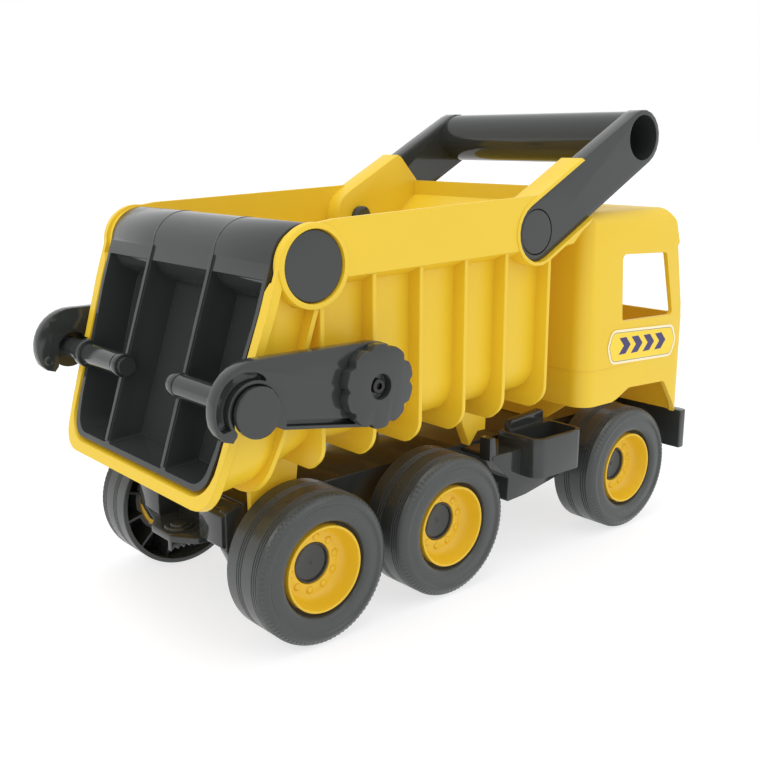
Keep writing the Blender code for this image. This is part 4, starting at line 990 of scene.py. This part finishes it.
def moulded(name, rgb, rough, grain=0.02, wear=0.0, flow=0.05, edge=0.00045, painted_glow=0.0):
    """Moulded plastic: uneven colour from the melt, fine grain, rubbed patches and scuffs, and
    where asked a painted glow that lifts the shaded faces.
    """
    mat, tree, shader, place = blank(name)
    wire(tree, shader, Roughness=rough, IOR=1.5)
    if painted_glow:
        # light that seeps through the thin translucent wall
        # painted glow: an orange emission, in place of light seeping through the thin wall, that
        # lifts the shaded faces
        wire(tree, shader, Emission_Color=(1.0, 0.42, 0.03, 1.0), Emission_Strength=painted_glow)
    # slow clouds of colour, as pigment leaves in the melt
    tint = put(tree, "Mix", data_type="RGBA", Factor=noise(tree, place, Scale=14.0, Detail=4.0),
               A=(*[c * (1.0 - flow) for c in rgb], 1.0),
               B=(*[min(1.0, c * (1.0 + flow)) for c in rgb], 1.0)).outputs["Result"]
    # rubbed patches change the gloss
    gloss = put(tree, "MapRange", From_Min=0.35, From_Max=0.7, To_Min=rough - 0.05,
                To_Max=rough + 0.08,
                Value=noise(tree, place, Scale=55.0, Detail=6.0, Roughness=0.65))
    # shallow waves where the wall has sunk, and the fine grain of the mould over them
    sink = put(tree, "Bump", Strength=0.10, Distance=0.0003,
               Height=noise(tree, place, Scale=38.0, Detail=1.0))
    if edge:
        round_off = put(tree, "Bevel", samples=4, Radius=edge)
        wire(tree, sink, Normal=round_off.outputs["Normal"])
    bump = put(tree, "Bump", Strength=min(1.0, grain * 10), Distance=0.00006,
               Height=noise(tree, place, Scale=900.0, Detail=2.0),
               Normal=sink.outputs["Normal"])
    wire(tree, shader, Base_Color=tint, Roughness=gloss.outputs["Result"],
         Normal=bump.outputs["Normal"])
    if wear:
        # thin scuffs from play
        stretch = put(tree, "Mapping", Scale=(60.0, 260.0, 900.0), Rotation=(0.3, 0.5, 0.2),
                      Vector=place)
        scuff = noise(tree, stretch.outputs["Vector"], Scale=1.0, Detail=1.0)
        keep = put(tree, "MapRange", From_Min=0.70, From_Max=0.78, To_Max=wear, Value=scuff)
        pale = put(tree, "Mix", data_type="RGBA", Factor=keep.outputs["Result"], A=tint,
                   B=(*[0.6 * c + 0.2 for c in rgb], 1.0))
        wire(tree, shader, Base_Color=pale.outputs["Result"])
    return mat


def turned_steel(name, dark, light, rough):
    """Drawn or blacked steel: fine lines along the draw, uneven gloss."""
    mat, tree, shader, place = blank(name)
    turn = put(tree, "Mapping", Scale=(900.0, 30.0, 900.0), Vector=place)
    lines = noise(tree, turn.outputs["Vector"], Scale=1.0)
    tone = ramp(tree, lines, (dark, dark, dark * 1.03), (light, light, light * 1.03))
    gloss = put(tree, "MapRange", To_Min=rough, To_Max=rough + 0.2, Value=lines)
    wire(tree, shader, Metallic=1.0, Base_Color=tone, Roughness=gloss.outputs["Result"])
    return mat


# ---- studio ----------------------------------------------------------------
CAMERA_AT = (-0.40969, -0.46039, 0.24970)      # metres
CAMERA_TILT, CAMERA_TURN = 76.68, -40.66       # degrees
LENS, SENSOR = 48.34, 36.0                     # millimetres
FLOOR_HALF, FLOOR_Z = 30.0, -0.0001            # metres


def studio():
    scene = bpy.context.scene
    scene.view_settings.view_transform = "Standard"
    scene.view_settings.look = "None"
    world = bpy.data.worlds.new("studio")
    scene.world = world
    world.use_nodes = True
    tree = world.node_tree
    # white on one side, a trace of warm grey on the other
    split = put(tree, "SeparateXYZ", Vector=put(tree, "TexCoord").outputs["Generated"])
    side = put(tree, "MapRange", From_Min=-1.0, Value=split.outputs["X"])
    wire(tree, tree.nodes["Background"], Strength=1.0,
         Color=ramp(tree, side.outputs["Result"], (0.86, 0.85, 0.84), (1.0, 1.0, 1.0),
                    0.12, 0.56))

    floor_mesh = bpy.data.meshes.new("floor")
    h, z = FLOOR_HALF, FLOOR_Z
    floor_mesh.from_pydata([(-h, -h, z), (h, -h, z), (h, h, z), (-h, h, z)], [],
                           [(0, 1, 2, 3)])
    floor = bpy.data.objects.new("floor", floor_mesh)
    scene.collection.objects.link(floor)
    paper, tree, shader, place = blank("paper")
    fibre = noise(tree, place, Scale=6.0)
    wire(tree, shader, Roughness=0.6, Specular_IOR_Level=0.2,
         Emission_Color=(1.0, 1.0, 1.0, 1.0), Emission_Strength=0.70,
         Base_Color=ramp(tree, fibre, (0.33, 0.33, 0.34), (0.35, 0.35, 0.36)))
    floor_mesh.materials.append(paper)

    def soft(name, place, aim, size, power):
        data = bpy.data.lights.new(name, "AREA")
        data.shape = "RECTANGLE"
        data.size, data.size_y = size
        data.energy = power
        lamp = bpy.data.objects.new(name, data)
        lamp.location = place
        way = Vector(aim) - Vector(place)
        lamp.rotation_euler = way.to_track_quat("-Z", "Y").to_euler()
        scene.collection.objects.link(lamp)

    soft("key", (0.5, -1.5, 1.1), (0, 0, 0.12), (1.2, 0.9), 3.2)
    soft("top", (-0.2, -0.1, 1.9), (0, 0, 0.1), (1.2, 1.2), 9.0)
    soft("rear", (-1.5, -0.1, 1.3), (0, 0, 0.15), (1.0, 0.6), 5.0)

    data = bpy.data.cameras.new("camera")
    data.lens = LENS
    data.sensor_width = SENSOR
    cam = bpy.data.objects.new("camera", data)
    cam.location = CAMERA_AT
    cam.rotation_euler = (math.radians(CAMERA_TILT), 0.0, math.radians(CAMERA_TURN))
    scene.collection.objects.link(cam)
    scene.camera = cam


def build():
    mats = {
        # the yellow and rim plastics carry a painted glow, an emission that lifts their shaded
        # faces
        "yellow": moulded("yellow_plastic", (0.67, 0.485, 0.018), 0.40, painted_glow=0.11, flow=0.03),
        "rim": moulded("rim_plastic", (0.70, 0.46, 0.016), 0.38, painted_glow=0.07, flow=0.04),
        "black": moulded("black_plastic", (0.034, 0.038, 0.037), 0.09, flow=0.10),
        "rubber": moulded("tyre_plastic", (0.048, 0.054, 0.053), 0.30, flow=0.10, wear=0.08,
                          edge=0.0, grain=0.04),
        "steel": turned_steel("steel", 0.30, 0.55, 0.22),
        "dark_steel": turned_steel("blacked_steel", 0.035, 0.07, 0.25),
        "label": moulded("label_film", (0.90, 0.80, 0.52), 0.3, edge=0.0, flow=0.02),
        "print_grey": moulded("print_grey", (0.30, 0.27, 0.20), 0.35, edge=0.0, flow=0.04),
        "print_yellow": moulded("print_yellow", (0.86, 0.62, 0.03), 0.35, edge=0.0, flow=0.02),
        "print_navy": moulded("print_navy", (0.030, 0.022, 0.12), 0.35, edge=0.0, flow=0.05),
    }
    chassis(mats)
    axles(mats)
    for tag, x in AXLES:
        for side, s in SIDES:
            wheel(tag + "_" + side, x, s, mats)
    cab(mats)
    tub(mats)
    tailgate(mats)
    latches(mats)
    handle(mats)


build()
studio()
bpy.context.view_layer.update()
